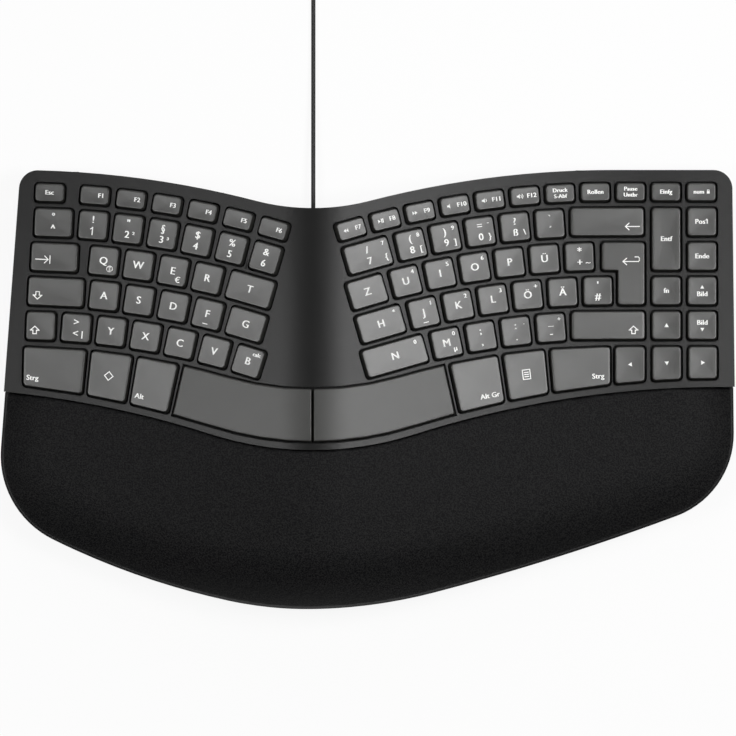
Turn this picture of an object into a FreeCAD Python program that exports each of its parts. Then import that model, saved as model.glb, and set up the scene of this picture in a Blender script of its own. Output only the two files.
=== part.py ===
# Split ergonomic keyboard with a tented key deck, a cushioned palm rest and a cord at the back.
# Millimetres. +X runs right along the keys, +Y away from the user, +Z up from the desk.
# The origin lies on the desk under the middle of the keyboard.

import FreeCAD, Part
import math
import os

from FreeCAD import Vector as V

# Overall plan
ridge_x = -29.0
left_side_back = V(-185.6, 110.0, 0.0)
left_side_front = V(-195.65, -30.0, 0.0)
right_side_back = V(194.55, 110.0, 0.0)
right_side_front = V(195.65, -23.2, 0.0)
row_centre_x = 160.0
row_centre_y = -390.9
deck_back_radius = 507.9
ridge_notch_radius = 117.0
back_corner_radius = 10.0
seam_centre_y = 148.05
seam_centre_radius = 180.0
seam_flank_angle = math.radians(17.5)
seam_flank_radius = 540.0
palm_front_x = -32.7
palm_front_y = -117.0
palm_left_radii = (200.0, 400.0, 50.0)
palm_left_angle = math.radians(12.0)
palm_right_radii = (275.0, 1300.0, 47.0)
palm_right_angle = math.radians(14.5)

# Deck form
crest_height = 50.4
crest_radius = 77.0
crest_angle = math.radians(15.0)
flank_radius = 629.0
deck_fall = math.radians(4.0)

# Layers, as depths under the deck surface
deck_thickness = 2.2
cap_rise = 3.2
skirt_depth = 2.3
guide_top = 5.5
guide_thickness = 3.0
plunger_depth = 9.0
dome_height = 2.7
sheet_depth = 12.2
sheet_thickness = 0.6
film_thickness = 0.4
support_thickness = 1.0

# Keys
key_pitch = 19.05
cap_gap = 4.0
row_gap = 3.75
bottom_gap = 3.3
cap_depth = 14.75
function_cap_depth = 9.2
cap_flare = 0.55
cap_corner = 1.6
cap_wall = 1.2
well_over = 4.0
well_under = 1.5
post_bite = 1.0
cut_over = 0.5
well_clearance = 0.75
plunger_size = 5.6
guide_clearance = 0.4
wide_units = 1.75
wide_post_offset = 8.5
dome_base = 5.4
dome_tip = 3.2
dome_sides = 5
function_radius = 495.9
number_radius = 480.0
top_radius = 461.6
home_radius = 443.2
lower_radius = 424.8
bottom_edge_radius = 413.4
deck_lip = 4.4
function_starts = (10.9, 10.4)
function_gaps = (4.45, 3.85)
escape_gap = 4.7
number_starts = (15.2, 14.8)
top_starts = (18.7, 16.6)
tab_gap = 3.0
home_starts = (23.2, 21.6)
lower_starts = (24.2, 24.5)
edge_gap = 0.2
bottom_starts = (73.6, 74.8)
bottom_left_widths = (("alt", 20.8), ("diamond", 20.8), ("ctrl_left", 31.9))
bottom_right_widths = (("alt_gr", 24.5), ("menu", 21.2), ("ctrl_right", 30.8))
arrow_places = (("arrow_left", 160.8, 15.6), ("arrow_down", 180.7, 15.0),
                ("arrow_right", 199.9, 14.9))
enter_right = 176.45
enter_left = 153.8
enter_step = 162.35
space_edge_y = -0.1
space_split = 0.8
space_left_end = 70.3
space_right_end = 71.5
space_centre = 35.5
space_centre_y = -14.6
space_yaw = 0.24
space_post_offset = 18.0
bottom_middle_radius = 400.0
space_lean = math.radians(5.0)
nav_column = 188.1
edge_column = 207.15

# Cases
foot_height = 2.0
floor_thickness = 1.8
parting_height = 6.5
case_wall = 2.0
fit_gap = 0.3
seam_gap = 0.4
layer_inset = 2.7
lower_rim = 3.0
rib_thickness = 1.6
rib_gap = 0.25
rib_rows = (24.0, 89.8)
rib_columns = (-150.0, -76.0, 14.0, 76.0, 150.0)
palm_rib_columns = (-100.0, -48.0, 0.0, 60.0)
palm_rib_places = (-112.0, -100.0, -84.0, -60.0, -20.0)
palm_rib_drop = 0.4
fold_count = 5
bottom_chamfer = 1.4

# Palm rest
pad_thickness = 5.5
pad_setback = 1.3
pad_step = 0.8
palm_crown_length = 85.0
palm_side_drop = 5.0
palm_ridge_drop = 6.0
roll_width = 34.0
roll_side_drop = 9.0
roll_ridge_drop = 8.0
roll_power = 2.4
rim_step = 3.0
back_reach = 20.0
sheet_start = (-204.0, -126.0)
sheet_steps = (8.0, 6.5)
sheet_counts = (52, 22)
palm_wall = 2.2

# Fasteners, legs and feet
post_radius = 2.4
post_inset = 3.6
deck_post_places = (-127.2, -48.6, 47.0, 142.0)
palm_post_places = (-165.0, -70.0, 20.0, 160.0)
palm_post_y = -50.0
palm_post_radius = 3.0
side_post_y = 9.0
side_post_inset = 4.6
boss_radius = 4.0
screw_head_radius = 2.3
screw_head_height = 1.6
screw_shank_radius = 1.1
screw_length = 8.0
screw_sink = 1.9
screw_end_play = 2.0
thread_play = 0.05
shank_play = 0.2
head_play = 0.3
boss_play = 0.3
gland_play = 0.1
leg_width = 24.0
leg_length = 27.0
leg_thickness = 4.4
leg_gap = 0.5
leg_pin_radius = 1.2
leg_pin_length = 1.6
leg_axis_y = -70.0
leg_offset = 112.0
left_leg_shift = 6.0
right_leg_shift = 22.0
leg_recess = 0.2
pin_play = 0.15
leg_rib = 1.8
leg_skin = 1.6
leg_toe = 1.5
leg_bay_start = 2.5
leg_bay_trim = 6.0
foot_size = (26.0, 9.0)
foot_corner = 2.6
foot_spots = ((-150.0, 94.0), (150.0, 100.0), (ridge_x, 76.0), (-150.0, -28.0), (165.0, -28.0),
              (ridge_x - 36.0, -98.0), (ridge_x + 40.0, -98.0))

# Controller board
board_size = (72.0, 26.0, 1.6)
board_middle_y = 75.0
board_height = 11.0
board_hole_radius = 1.4
peg_reach = (32.0, 9.0)
peg_radius = 2.6
peg_tip_radius = 1.25
peg_tip_height = 2.4
chip = ((9.0, 9.0, 1.2), (-6.0, -5.0))
connector = ((24.0, 5.0, 4.5), (-30.0, -11.0))
crystal = ((5.0, 2.2, 1.8), (8.0, 5.0))
cord_socket = ((10.0, 5.0, 5.5), (14.0, 7.0))

# Cord
cord_diameter = 2.3
cord_length = 1500.0
cord_turn_gap = 0.7
coil_turns = 3
coil_end = 0.25
coil_start_y = 256.0
cord_tail = 27.0
coil_sides = 6
run_sides = 8
gland_radius = 2.4
flange_radius = 3.4
flange_length = 1.6
flange_play = 0.15
flange_setback = 0.3
gland_lengths = (0.5, 0.8)
cord_places = ((112.0, 6.5), (138.0, 4.4), (174.0, 2.3), (214.0, 1.4))
plug_body_size = (26.0, 15.6, 7.8)
plug_shell_size = (12.0, 12.0, 4.5)
plug_shell_wall = 0.3
plug_edge = 1.6
plug_back_wall = 0.6
tongue_thickness = 1.7
tongue_side_gap = 0.2
tongue_bite = 0.1
tongue_drop = 0.3

LEFT = -1
RIGHT = 1
slope = math.tan(deck_fall)
layer_bottom = sheet_depth + sheet_thickness + film_thickness + support_thickness
parts = {}


# Plan geometry

def polar(centre, radius, angle):
    """Point of a circle, with the angle measured from the +X axis."""
    return centre + V(radius * math.cos(angle), radius * math.sin(angle), 0)


def arc(centre, radius, start, end):
    """Arc edge from one angle to another."""
    middle = (start + end) / 2
    return Part.Arc(*[polar(centre, radius, a) for a in (start, middle, end)]).toShape()


def arc_between(centre, radius, start, end):
    """Arc edge of under a half circle between two points of a circle."""
    middle = ((start + end) * 0.5 - centre).normalize() * radius + centre
    return Part.Arc(start, middle, end).toShape()


def line(start, end):
    return Part.LineSegment(start, end).toShape()


def side_x(y, back, front):
    """Where a side line stands at a given depth of the keyboard."""
    return back.x + (front.x - back.x) * (back.y - y) / (back.y - front.y)


def side_corner(back, front, centre, reach, radius, side):
    """Centre of a corner circle that touches a side line and a circle's reach from a centre."""
    along = (front - back).normalize()
    inward = V(-along.y, along.x, 0)
    if inward.x * side > 0:
        inward = inward * -1
    start = back + inward * radius - centre
    b = start.dot(along)
    root = math.sqrt(b * b - start.dot(start) + reach * reach)
    options = [start + along * (-b + sign * root) + centre for sign in (-1, 1)]
    return options, inward


def seam_y(x, shift=0.0):
    """The seam between deck and palm rest at x, moved forward by a shift."""
    d = abs(x - ridge_x)
    flank_x = (seam_centre_radius + seam_flank_radius) * math.sin(seam_flank_angle)
    flank_y = seam_centre_y - (seam_centre_radius + seam_flank_radius) * math.cos(seam_flank_angle)
    if d < seam_centre_radius * math.sin(seam_flank_angle):
        r = seam_centre_radius + shift
        return seam_centre_y - math.sqrt(r * r - d * d)
    r = seam_flank_radius - shift
    if d < flank_x:
        return flank_y + math.sqrt(r * r - (flank_x - d) ** 2)
    return flank_y + r


def seam_edges(left_x, right_x, shift=0.0):
    """Seam edges from right to left between two side positions."""
    angle = seam_flank_angle
    span = seam_centre_radius + seam_flank_radius
    centre = V(ridge_x, seam_centre_y, 0)
    inner = seam_centre_radius + shift
    outer = seam_flank_radius - shift
    left = V(ridge_x - span * math.sin(angle), seam_centre_y - span * math.cos(angle), 0)
    right = V(ridge_x + span * math.sin(angle), left.y, 0)
    down = -math.pi / 2
    left_end = V(left_x, seam_y(left_x, shift), 0)
    level = V(right.x, right.y + outer, 0)
    start = V(right_x, level.y, 0)
    joint = polar(centre, inner, down + angle)
    return [
        line(start, level),
        arc(right, outer, math.pi / 2, math.pi / 2 + angle),
        arc_between(centre, inner, joint, polar(centre, inner, down)),
        arc_between(centre, inner, polar(centre, inner, down), polar(centre, inner, down - angle)),
        arc_between(left, outer, polar(centre, inner, down - angle), left_end),
    ]


def deck_wire():
    """Outline of the key deck seen from above."""
    edges = []
    left_x = side_x(0, left_side_back, left_side_front)
    left_end = V(left_x, seam_y(left_x), 0)
    row_left = V(ridge_x - row_centre_x, row_centre_y, 0)
    row_right = V(ridge_x + row_centre_x, row_centre_y, 0)
    options, inward = side_corner(left_side_back, left_side_front, row_left,
                                  deck_back_radius - back_corner_radius, back_corner_radius, LEFT)
    corner = max(options, key=lambda p: p.y)
    touch = corner - inward * back_corner_radius
    out = (corner - row_left).normalize()
    back_start = row_left + out * deck_back_radius
    edges.append(line(left_end, touch))
    edges.append(arc_between(corner, back_corner_radius, touch, back_start))
    reach = row_centre_x / (deck_back_radius + ridge_notch_radius)
    meet = math.asin(reach)
    left_meet = polar(row_left, deck_back_radius, math.pi / 2 - meet)
    right_meet = polar(row_right, deck_back_radius, math.pi / 2 + meet)
    notch_y = row_centre_y + (deck_back_radius + ridge_notch_radius) * math.cos(meet)
    notch = V(ridge_x, notch_y, 0)
    low = notch - V(0, ridge_notch_radius, 0)
    edges.append(arc_between(row_left, deck_back_radius, back_start, left_meet))
    edges.append(arc_between(notch, ridge_notch_radius, left_meet, low))
    edges.append(arc_between(notch, ridge_notch_radius, low, right_meet))
    flat_start = polar(row_right, deck_back_radius, math.pi / 2)
    edges.append(arc_between(row_right, deck_back_radius, right_meet, flat_start))
    along = (right_side_front - right_side_back).normalize()
    square = V(along.y, -along.x, 0)
    corner_y = flat_start.y - back_corner_radius
    base = right_side_back + square * back_corner_radius
    corner = V(base.x + (base.y - corner_y) * along.x / -along.y, corner_y, 0)
    touch = corner - square * back_corner_radius
    flat_end = V(corner.x, flat_start.y, 0)
    edges.append(line(flat_start, flat_end))
    edges.append(arc_between(corner, back_corner_radius, flat_end, touch))
    right_y = seam_y(right_side_front.x)
    right_x = side_x(right_y, right_side_back, right_side_front)
    edges.append(line(touch, V(right_x, right_y, 0)))
    edges += seam_edges(left_x, right_x)
    return Part.Wire(Part.__sortEdges__(edges))


def palm_wire(setback=0.0):
    """Outline of the palm rest seen from above, its outer edge drawn in by a setback."""
    sides = []
    for back, front, side in ((left_side_back, left_side_front, LEFT),
                              (right_side_back, right_side_front, RIGHT)):
        along = (front - back).normalize()
        shift = V(-along.y, along.x, 0) * setback
        if shift.x * side > 0:
            shift = shift * -1
        sides.append((back + shift, front + shift))
    left, right = sides
    left_x = side_x(seam_y(left_side_front.x), *left)
    right_y = seam_y(right_side_front.x, seam_gap)
    right_x = side_x(right_y, *right)
    edges = seam_edges(left_x, right_x, seam_gap)
    down = -math.pi / 2
    for side, radii, angle, (back, front) in (
            (LEFT, palm_left_radii, palm_left_angle, left),
            (RIGHT, palm_right_radii, palm_right_angle, right)):
        turn = down + side * angle
        centre = V(palm_front_x, palm_front_y + radii[0], 0)
        middle, flank, corner_radius = [r - setback for r in radii]
        meet = polar(centre, middle, turn)
        edges.append(arc_between(centre, middle, polar(centre, middle, down), meet))
        flank_centre = polar(meet, flank, turn + math.pi)
        options, inward = side_corner(back, front, flank_centre, flank - corner_radius,
                                      corner_radius, side)
        corner = max(options, key=lambda p: -abs(p.y + 30))
        out = (corner - flank_centre).normalize()
        leave = flank_centre + out * flank
        touch = corner - inward * corner_radius
        edges.append(arc_between(flank_centre, flank, meet, leave))
        edges.append(arc_between(corner, corner_radius, leave, touch))
        end = V(left_x, seam_y(left_x, seam_gap), 0) if side == LEFT else V(right_x, right_y, 0)
        edges.append(line(touch, end))
    return Part.Wire(Part.__sortEdges__(edges))


deck_outline = deck_wire()
palm_outline = palm_wire()


def whole_wire():
    """Outline of deck and palm rest together."""
    edges = [e for e in deck_outline.Edges if not on_seam(e, 0)]
    edges += [e for e in palm_outline.Edges if not on_seam(e, seam_gap)]
    for side_points in (seam_ends(LEFT), seam_ends(RIGHT)):
        edges.append(line(*side_points))
    return Part.Wire(Part.__sortEdges__(edges))


def seam_ends(side):
    """Ends of the seam at one side, on the deck and on the palm rest."""
    ends = []
    for outline, shift in ((deck_outline, 0), (palm_outline, seam_gap)):
        points = [v.Point for v in outline.Vertexes if abs(v.Y - seam_y(v.X, shift)) < 0.01]
        ends.append(max(points, key=lambda p: side * p.x))
    return ends


def on_seam(edge, shift):
    middle = edge.valueAt((edge.FirstParameter + edge.LastParameter) / 2)
    return abs(middle.y - seam_y(middle.x, shift)) < 0.05


def inset(wire, distance):
    """The same outline, drawn in by a distance."""
    if distance == 0:
        return wire
    return wire.makeOffset2D(-distance)


def straightened(wire):
    """The outline with its arcs replaced by short straight stretches."""
    points = []
    for edge in wire.OrderedEdges:
        straight = isinstance(edge.Curve, Part.Line)
        count = 2 if straight else 2 + int(edge.Length / math.sqrt(edge.Curve.Radius * 2.0))
        run = edge.discretize(count)
        if edge.Orientation == "Reversed":
            run.reverse()
        points += run[:-1]
    return Part.makePolygon(points + points[:1])


def prism(wire, low, high):
    """Upright solid over a plan outline."""
    face = Part.Face(wire)
    face.translate(V(0, 0, low))
    return face.extrude(V(0, 0, high - low))


# Deck surface

def ridge_profile(x):
    """Height of the deck section at x, before the fall to the back."""
    d = abs(x - ridge_x)
    crest_half = crest_radius * math.sin(crest_angle)
    crest_drop = crest_radius * (1 - math.cos(crest_angle))
    if d < crest_half:
        return crest_height - crest_radius + math.sqrt(crest_radius ** 2 - d * d)
    flank_end = crest_half + flank_radius * math.sin(crest_angle)
    full_drop = crest_drop + flank_radius * (1 - math.cos(crest_angle))
    if d < flank_end:
        rise = flank_radius - math.sqrt(flank_radius ** 2 - (flank_end - d) ** 2)
        return crest_height - full_drop + rise
    return crest_height - full_drop


def profile_slope(x):
    """Sideways slope of the deck section at x."""
    step = 0.01
    return (ridge_profile(x + step) - ridge_profile(x - step)) / (2 * step)


def deck_z(x, y):
    return ridge_profile(x) / math.cos(deck_fall) - y * slope


def deck_normal(x):
    n = V(-profile_slope(x), 0, 1).normalize()
    return V(n.x, n.z * math.sin(deck_fall), n.z * math.cos(deck_fall))


def under_deck(depth, thickness=90.0):
    """Solid under the deck surface, lowered square to it by a depth."""
    half = crest_angle
    crest = V(ridge_x, 0, crest_height - crest_radius)
    span = crest_radius + flank_radius
    side = span * math.sin(half)
    flank_z = crest.z + span * math.cos(half)
    r_crest = crest_radius - depth
    r_flank = flank_radius + depth
    reach = 260.0

    def section(centre_x, centre_z, radius, angle):
        return V(centre_x + radius * math.sin(angle), 0, centre_z + radius * math.cos(angle))

    left_joint = section(ridge_x, crest.z, r_crest, -half)
    top = section(ridge_x, crest.z, r_crest, 0)
    right_joint = section(ridge_x, crest.z, r_crest, half)
    edges = []
    level = flank_z - r_flank
    left_low = V(ridge_x - side, 0, level)
    right_low = V(ridge_x + side, 0, level)
    left_mid = section(ridge_x - side, flank_z, -r_flank, -half / 2)
    right_mid = section(ridge_x + side, flank_z, -r_flank, half / 2)
    floor = level - thickness
    left_far = V(ridge_x - reach, 0, level)
    right_far = V(ridge_x + reach, 0, level)
    edges.append(line(left_far, left_low))
    edges.append(Part.Arc(left_low, left_mid, left_joint).toShape())
    edges.append(Part.Arc(left_joint, top, right_joint).toShape())
    edges.append(Part.Arc(right_joint, right_mid, right_low).toShape())
    edges.append(line(right_low, right_far))
    edges.append(line(right_far, V(right_far.x, 0, floor)))
    edges.append(line(V(right_far.x, 0, floor), V(left_far.x, 0, floor)))
    edges.append(line(V(left_far.x, 0, floor), left_far))
    face = Part.Face(Part.Wire(edges))
    face.translate(V(0, -160, 0))
    solid = face.extrude(V(0, 320, 0))
    solid.rotate(V(0, 0, 0), V(1, 0, 0), -math.degrees(deck_fall))
    return solid


def fold_lines(depth):
    """Flat stretches of the folded inner plates: points and directions from left to right."""
    flank_angles = [crest_angle * i / fold_count for i in range(fold_count + 1)]
    span = crest_radius + flank_radius
    lines = []
    for side in (LEFT, RIGHT):
        centre_x = ridge_x + side * span * math.sin(crest_angle)
        centre_z = crest_height - crest_radius + span * math.cos(crest_angle)
        reach = flank_radius + depth
        half = [(centre_x - side * reach * math.sin(a), centre_z - reach * math.cos(a), a)
                for a in flank_angles]
        crest = (ridge_x + side * (crest_radius - depth) * math.sin(crest_angle / 2),
                 crest_height - crest_radius + (crest_radius - depth) * math.cos(crest_angle / 2),
                 crest_angle / 2)
        half.append(crest)
        half = [(V(x, 0, z), V(math.cos(a), 0, -side * math.sin(a))) for x, z, a in half]
        if side == RIGHT:
            lines.append((V(ridge_x, 0, crest_height - depth), V(1, 0, 0)))
            half.reverse()
        lines += half
    return lines


def under_folds(depth, thickness=90.0):
    """Solid under a folded plate that lies a depth under the deck."""
    lines = fold_lines(depth)
    reach = 260.0
    points = [V(ridge_x - reach, 0, lines[0][0].z)]
    for (p, d), (q, e) in zip(lines, lines[1:]):
        along = (q - p).cross(e).y / d.cross(e).y
        points.append(p + d * along)
    points.append(V(ridge_x + reach, 0, lines[-1][0].z))
    floor = lines[0][0].z - thickness
    points += [V(ridge_x + reach, 0, floor), V(ridge_x - reach, 0, floor)]
    face = Part.Face(Part.makePolygon(points + points[:1]))
    face.translate(V(0, -160, 0))
    solid = face.extrude(V(0, 320, 0))
    solid.rotate(V(0, 0, 0), V(1, 0, 0), -math.degrees(deck_fall))
    return solid


def layer(wire, depth, thickness):
    """Folded plate between two depths, cut to a plan outline."""
    block = prism(wire, -20, 80)
    return block.common(under_folds(depth)).cut(under_folds(depth + thickness, 95.0))


# Keys

class Key:
    """One key: its node, its cap outline in its own plane and its frame on the deck."""

    def __init__(self, name, node, x, y, yaw, outline, posts=(0.0,)):
        self.name = name
        self.node = node
        self.outline = outline
        self.posts = posts
        self.origin = V(x, y, deck_z(x, y))
        self.normal = deck_normal(x)
        across = V(math.cos(yaw), math.sin(yaw), 0)
        self.along = (across - self.normal * across.dot(self.normal)).normalize()
        self.up = self.normal.cross(self.along)
        self.axis = self.normal

    def point(self, u, v, depth):
        return self.origin + self.along * u + self.up * v - self.normal * depth


def row_place(t, radius):
    """Plan position and yaw at a distance t from the ridge, measured along a row."""
    side = LEFT if t < 0 else RIGHT
    t = abs(t)
    if t > row_centre_x:
        return V(ridge_x + side * t, row_centre_y + radius, 0), 0.0
    turn = (row_centre_x - t) / radius
    x = row_centre_x - radius * math.sin(turn)
    place = V(ridge_x + side * x, row_centre_y + radius * math.cos(turn), 0)
    return place, side * turn


def rectangle(width, depth):
    a, b = width / 2, depth / 2
    return [(-a, -b), (a, -b), (a, b), (-a, b)]


def cap_width(units):
    return key_pitch * units - cap_gap


def row(keys, side, radius, start, gap, depth, entries):
    """Keys side by side along a row, from the ridge outward."""
    edge = start
    for name, node, units, extra in entries:
        width = cap_width(units)
        place, yaw = row_place(side * (edge + extra + width / 2), radius)
        edge += extra + width + gap
        posts = (0.0,) if units < wide_units else (0.0, -wide_post_offset, wide_post_offset)
        keys.append(Key(name, node, place.x, place.y, yaw, rectangle(width, depth), posts))


def plan_key(name, node, x, y, plan, posts=(0.0,)):
    """Key whose cap outline is given as points in plan."""
    key = Key(name, node, x, y, 0.0, [], posts)
    key.outline = []
    for px, py in plan:
        rise = deck_z(x, y) - (key.normal.x * (px - x) + key.normal.y * (py - y)) / key.normal.z
        offset = V(px, py, rise) - key.origin
        key.outline.append((offset.dot(key.along), offset.dot(key.up)))
    return key


def bottom_key(name, node, side, inner, outer):
    """Key of the front row, between its top arc and the lip beside the seam."""
    corners = []
    for t in (inner, outer):
        place, yaw = row_place(side * t, bottom_middle_radius)
        ray = V(math.sin(yaw), -math.cos(yaw), 0)
        top = place - ray * (bottom_edge_radius - bottom_middle_radius)
        low = place
        for _ in range(6):
            gap = low.y - seam_y(low.x, 0) - deck_lip / math.cos(yaw)
            low = low + ray * gap
        corners.append((top, low))
    (a_top, a_low), (b_top, b_low) = corners
    plan = [a_low, b_low, b_top, a_top]
    if side == LEFT:
        plan = [b_low, a_low, a_top, b_top]
    centre = (a_low + b_low + a_top + b_top) * 0.25
    return plan_key(name, node, centre.x, centre.y, [(p.x, p.y) for p in plan])


def rounded(outline, cut):
    """The outline with each outer corner cut off, for points in anticlockwise order."""
    points = []
    count = len(outline)
    for i in range(count):
        here = V(*outline[i], 0)
        before = V(*outline[i - 1], 0)
        after = V(*outline[(i + 1) % count], 0)
        if (here - before).cross(after - here).z < 0:
            points.append(outline[i])
            continue
        for other in (before, after):
            toward = (other - here).normalize() * cut
            points.append(((here + toward).x, (here + toward).y))
    return points


def grow(outline, distance):
    """The outline moved outward by a distance, for points in anticlockwise order."""
    moved = []
    count = len(outline)
    for i in range(count):
        here = V(*outline[i], 0)
        before = (here - V(*outline[i - 1], 0)).normalize()
        after = (V(*outline[(i + 1) % count], 0) - here).normalize()
        n1 = V(before.y, -before.x, 0)
        n2 = V(after.y, -after.x, 0)
        shift = (n1 + n2) * (distance / (1 + n1.dot(n2)))
        moved.append(((here + shift).x, (here + shift).y))
    return moved


def key_prism(key, outline, start, end):
    """Straight solid over an outline in a key's plane, between two depths."""
    points = [key.point(u, v, end) for u, v in outline]
    return Part.Face(Part.makePolygon(points + points[:1])).extrude(key.normal * (end - start))


def key_solid(key, low, high, low_depth, high_depth):
    """Flat-sided solid between two outlines of as many points."""
    bottom = [key.point(u, v, low_depth) for u, v in low]
    top = [key.point(u, v, high_depth) for u, v in high]
    return flat_sided(bottom, top)


def flat_sided(bottom, top):
    """Solid between two rings of as many points."""
    faces = [Part.Face(Part.makePolygon(ring + ring[:1])) for ring in (bottom, top)]
    count = len(bottom)
    for i in range(count):
        j = (i + 1) % count
        ring = [bottom[i], bottom[j], top[j], top[i]]
        faces.append(Part.Face(Part.makePolygon(ring + ring[:1])))
    return Part.Solid(Part.Shell(faces))


def key_post(key, offset, size, start, end):
    """Square prism along a key's direction of travel, between two depths at the deck."""
    foot = key.point(offset, 0, 0)
    scale = 1 / key.axis.dot(key.normal)
    along = (key.along - key.axis * key.along.dot(key.axis)).normalize()
    up = key.axis.cross(along)
    corners = [(-1, -1), (1, -1), (1, 1), (-1, 1)]
    base = foot - key.axis * (end * scale)
    points = [base + along * (a * size / 2) + up * (b * size / 2) for a, b in corners]
    face = Part.Face(Part.makePolygon(points + points[:1]))
    return face.extrude(key.axis * ((end - start) * scale))


def keycap(key):
    """Hollow tapered cap with its plunger."""
    low = rounded(grow(key.outline, cap_flare), cap_corner)
    top = rounded(key.outline, cap_corner)
    shell = key_solid(key, low, top, skirt_depth, -cap_rise)
    inner_low = grow(key.outline, cap_flare - cap_wall)
    inner_top = grow(key.outline, -cap_wall)
    hollow = key_solid(key, inner_low, inner_top, skirt_depth, cap_wall - cap_rise)
    posts = [key_post(key, offset, plunger_size, -cap_rise + cap_wall / 2, plunger_depth)
             for offset in key.posts]
    return shell.cut(hollow).fuse(posts)


def build_layout():
    """All keys with rectangular or four-sided caps."""
    keys = []
    left_edge = "keys_left_edge"
    number_left = "keys_number_left"
    row(keys, LEFT, function_radius, function_starts[0], function_gaps[0], function_cap_depth,
        [("f%d" % n, "keys_function_left", 1, 0) for n in range(6, 0, -1)]
        + [("esc", "keys_function_left", 1, escape_gap)])
    row(keys, RIGHT, function_radius, function_starts[1], function_gaps[1], function_cap_depth,
        [("f%d" % n, "keys_function_right", 1, 0) for n in range(7, 13)]
        + [(name, "keys_system", 1, 0) for name in ("print", "scroll", "pause", "insert", "num")])
    row(keys, LEFT, number_radius, number_starts[0], row_gap, cap_depth,
        [(str(n), number_left, 1, 0) for n in range(6, 0, -1)]
        + [("caret", number_left, 1.25, edge_gap)])
    row(keys, RIGHT, number_radius, number_starts[1], row_gap, cap_depth,
        [("7", "keys_number_right", 1.5, 0), ("8", "keys_number_right", 1, 0),
         ("9", "keys_number_right", 1, 0), ("0", "keys_number_right", 1, 0),
         ("sharp_s", "keys_number_right", 1, 0), ("acute", "keys_number_right", 1, 0),
         ("backspace", "key_backspace", 2.25, 0)])
    row(keys, LEFT, top_radius, top_starts[0], row_gap, cap_depth,
        [("t", "key_t", 1.5, 0)] + [(c, "key_" + c, 1, 0) for c in "rewq"]
        + [("tab", left_edge, 1.5, tab_gap)])
    row(keys, RIGHT, top_radius, top_starts[1], row_gap, cap_depth,
        [("z", "key_z", 1.25, 0)] + [(c, "key_" + c, 1, 0) for c in "uiop"]
        + [("u_umlaut", "keys_punctuation", 1, 0), ("plus", "keys_punctuation", 1, 0)])
    row(keys, LEFT, home_radius, home_starts[0], row_gap, cap_depth,
        [("g", "key_g", 1.25, 0)] + [(c, "key_" + c, 1, 0) for c in "fdsa"]
        + [("caps", left_edge, 1.75, 0)])
    row(keys, RIGHT, home_radius, home_starts[1], row_gap, cap_depth,
        [("h", "key_h", 1.5, 0)] + [(c, "key_" + c, 1, 0) for c in "jkl"]
        + [(name, "keys_punctuation", 1, 0) for name in ("o_umlaut", "a_umlaut", "hash")])
    row(keys, LEFT, lower_radius, lower_starts[0], row_gap, cap_depth,
        [(c, "key_" + c, 1, 0) for c in "bvcxy"]
        + [("angle", left_edge, 1, 0), ("shift_left", left_edge, 1, edge_gap)])
    row(keys, RIGHT, lower_radius, lower_starts[1], row_gap, cap_depth,
        [("n", "key_n", 2, 0), ("m", "key_m", 1, 0)]
        + [(name, "keys_punctuation", 1, 0) for name in ("comma", "period", "minus")]
        + [("shift_right", "key_shift_right", 2.25, 0)])
    navigation = "keys_navigation"
    for name, node, t, radius in (
            ("pos1", navigation, edge_column, number_radius),
            ("end", navigation, edge_column, top_radius),
            ("fn", navigation, nav_column, home_radius),
            ("page_up", navigation, edge_column, home_radius),
            ("arrow_up", "keys_arrow", nav_column, lower_radius),
            ("page_down", navigation, edge_column, lower_radius)):
        place, yaw = row_place(t, radius)
        keys.append(Key(name, node, place.x, place.y, yaw, rectangle(cap_width(1), cap_depth)))
    tall = number_radius - top_radius + cap_depth
    tall_y = row_centre_y + (number_radius + top_radius) / 2
    keys.append(Key("delete", navigation, ridge_x + nav_column, tall_y, 0.0,
                    rectangle(cap_width(1), tall)))
    keys.append(enter_key())
    start = bottom_starts[0]
    for name, width in bottom_left_widths:
        keys.append(bottom_key(name, "keys_bottom_left", LEFT, start, start + width))
        start += width + bottom_gap
    start = bottom_starts[1]
    for name, width in bottom_right_widths:
        keys.append(bottom_key(name, "keys_bottom_right", RIGHT, start, start + width))
        start += width + bottom_gap
    for name, inner, width in arrow_places:
        keys.append(bottom_key(name, "keys_arrow", RIGHT, inner, inner + width))
    return keys


def enter_key():
    """The tall enter key, wider in its upper row."""
    right, left, step = enter_right, enter_left, enter_step
    high = row_centre_y + top_radius + cap_depth / 2
    low = row_centre_y + home_radius - cap_depth / 2
    shelf = high - cap_depth
    plan = [(step, low), (right, low), (right, high), (left, high), (left, shelf), (step, shelf)]
    plan = [(ridge_x + px, py) for px, py in plan]
    return plan_key("enter", "key_enter", ridge_x + (step + right) / 2, (high + low) / 2, plan)


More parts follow.
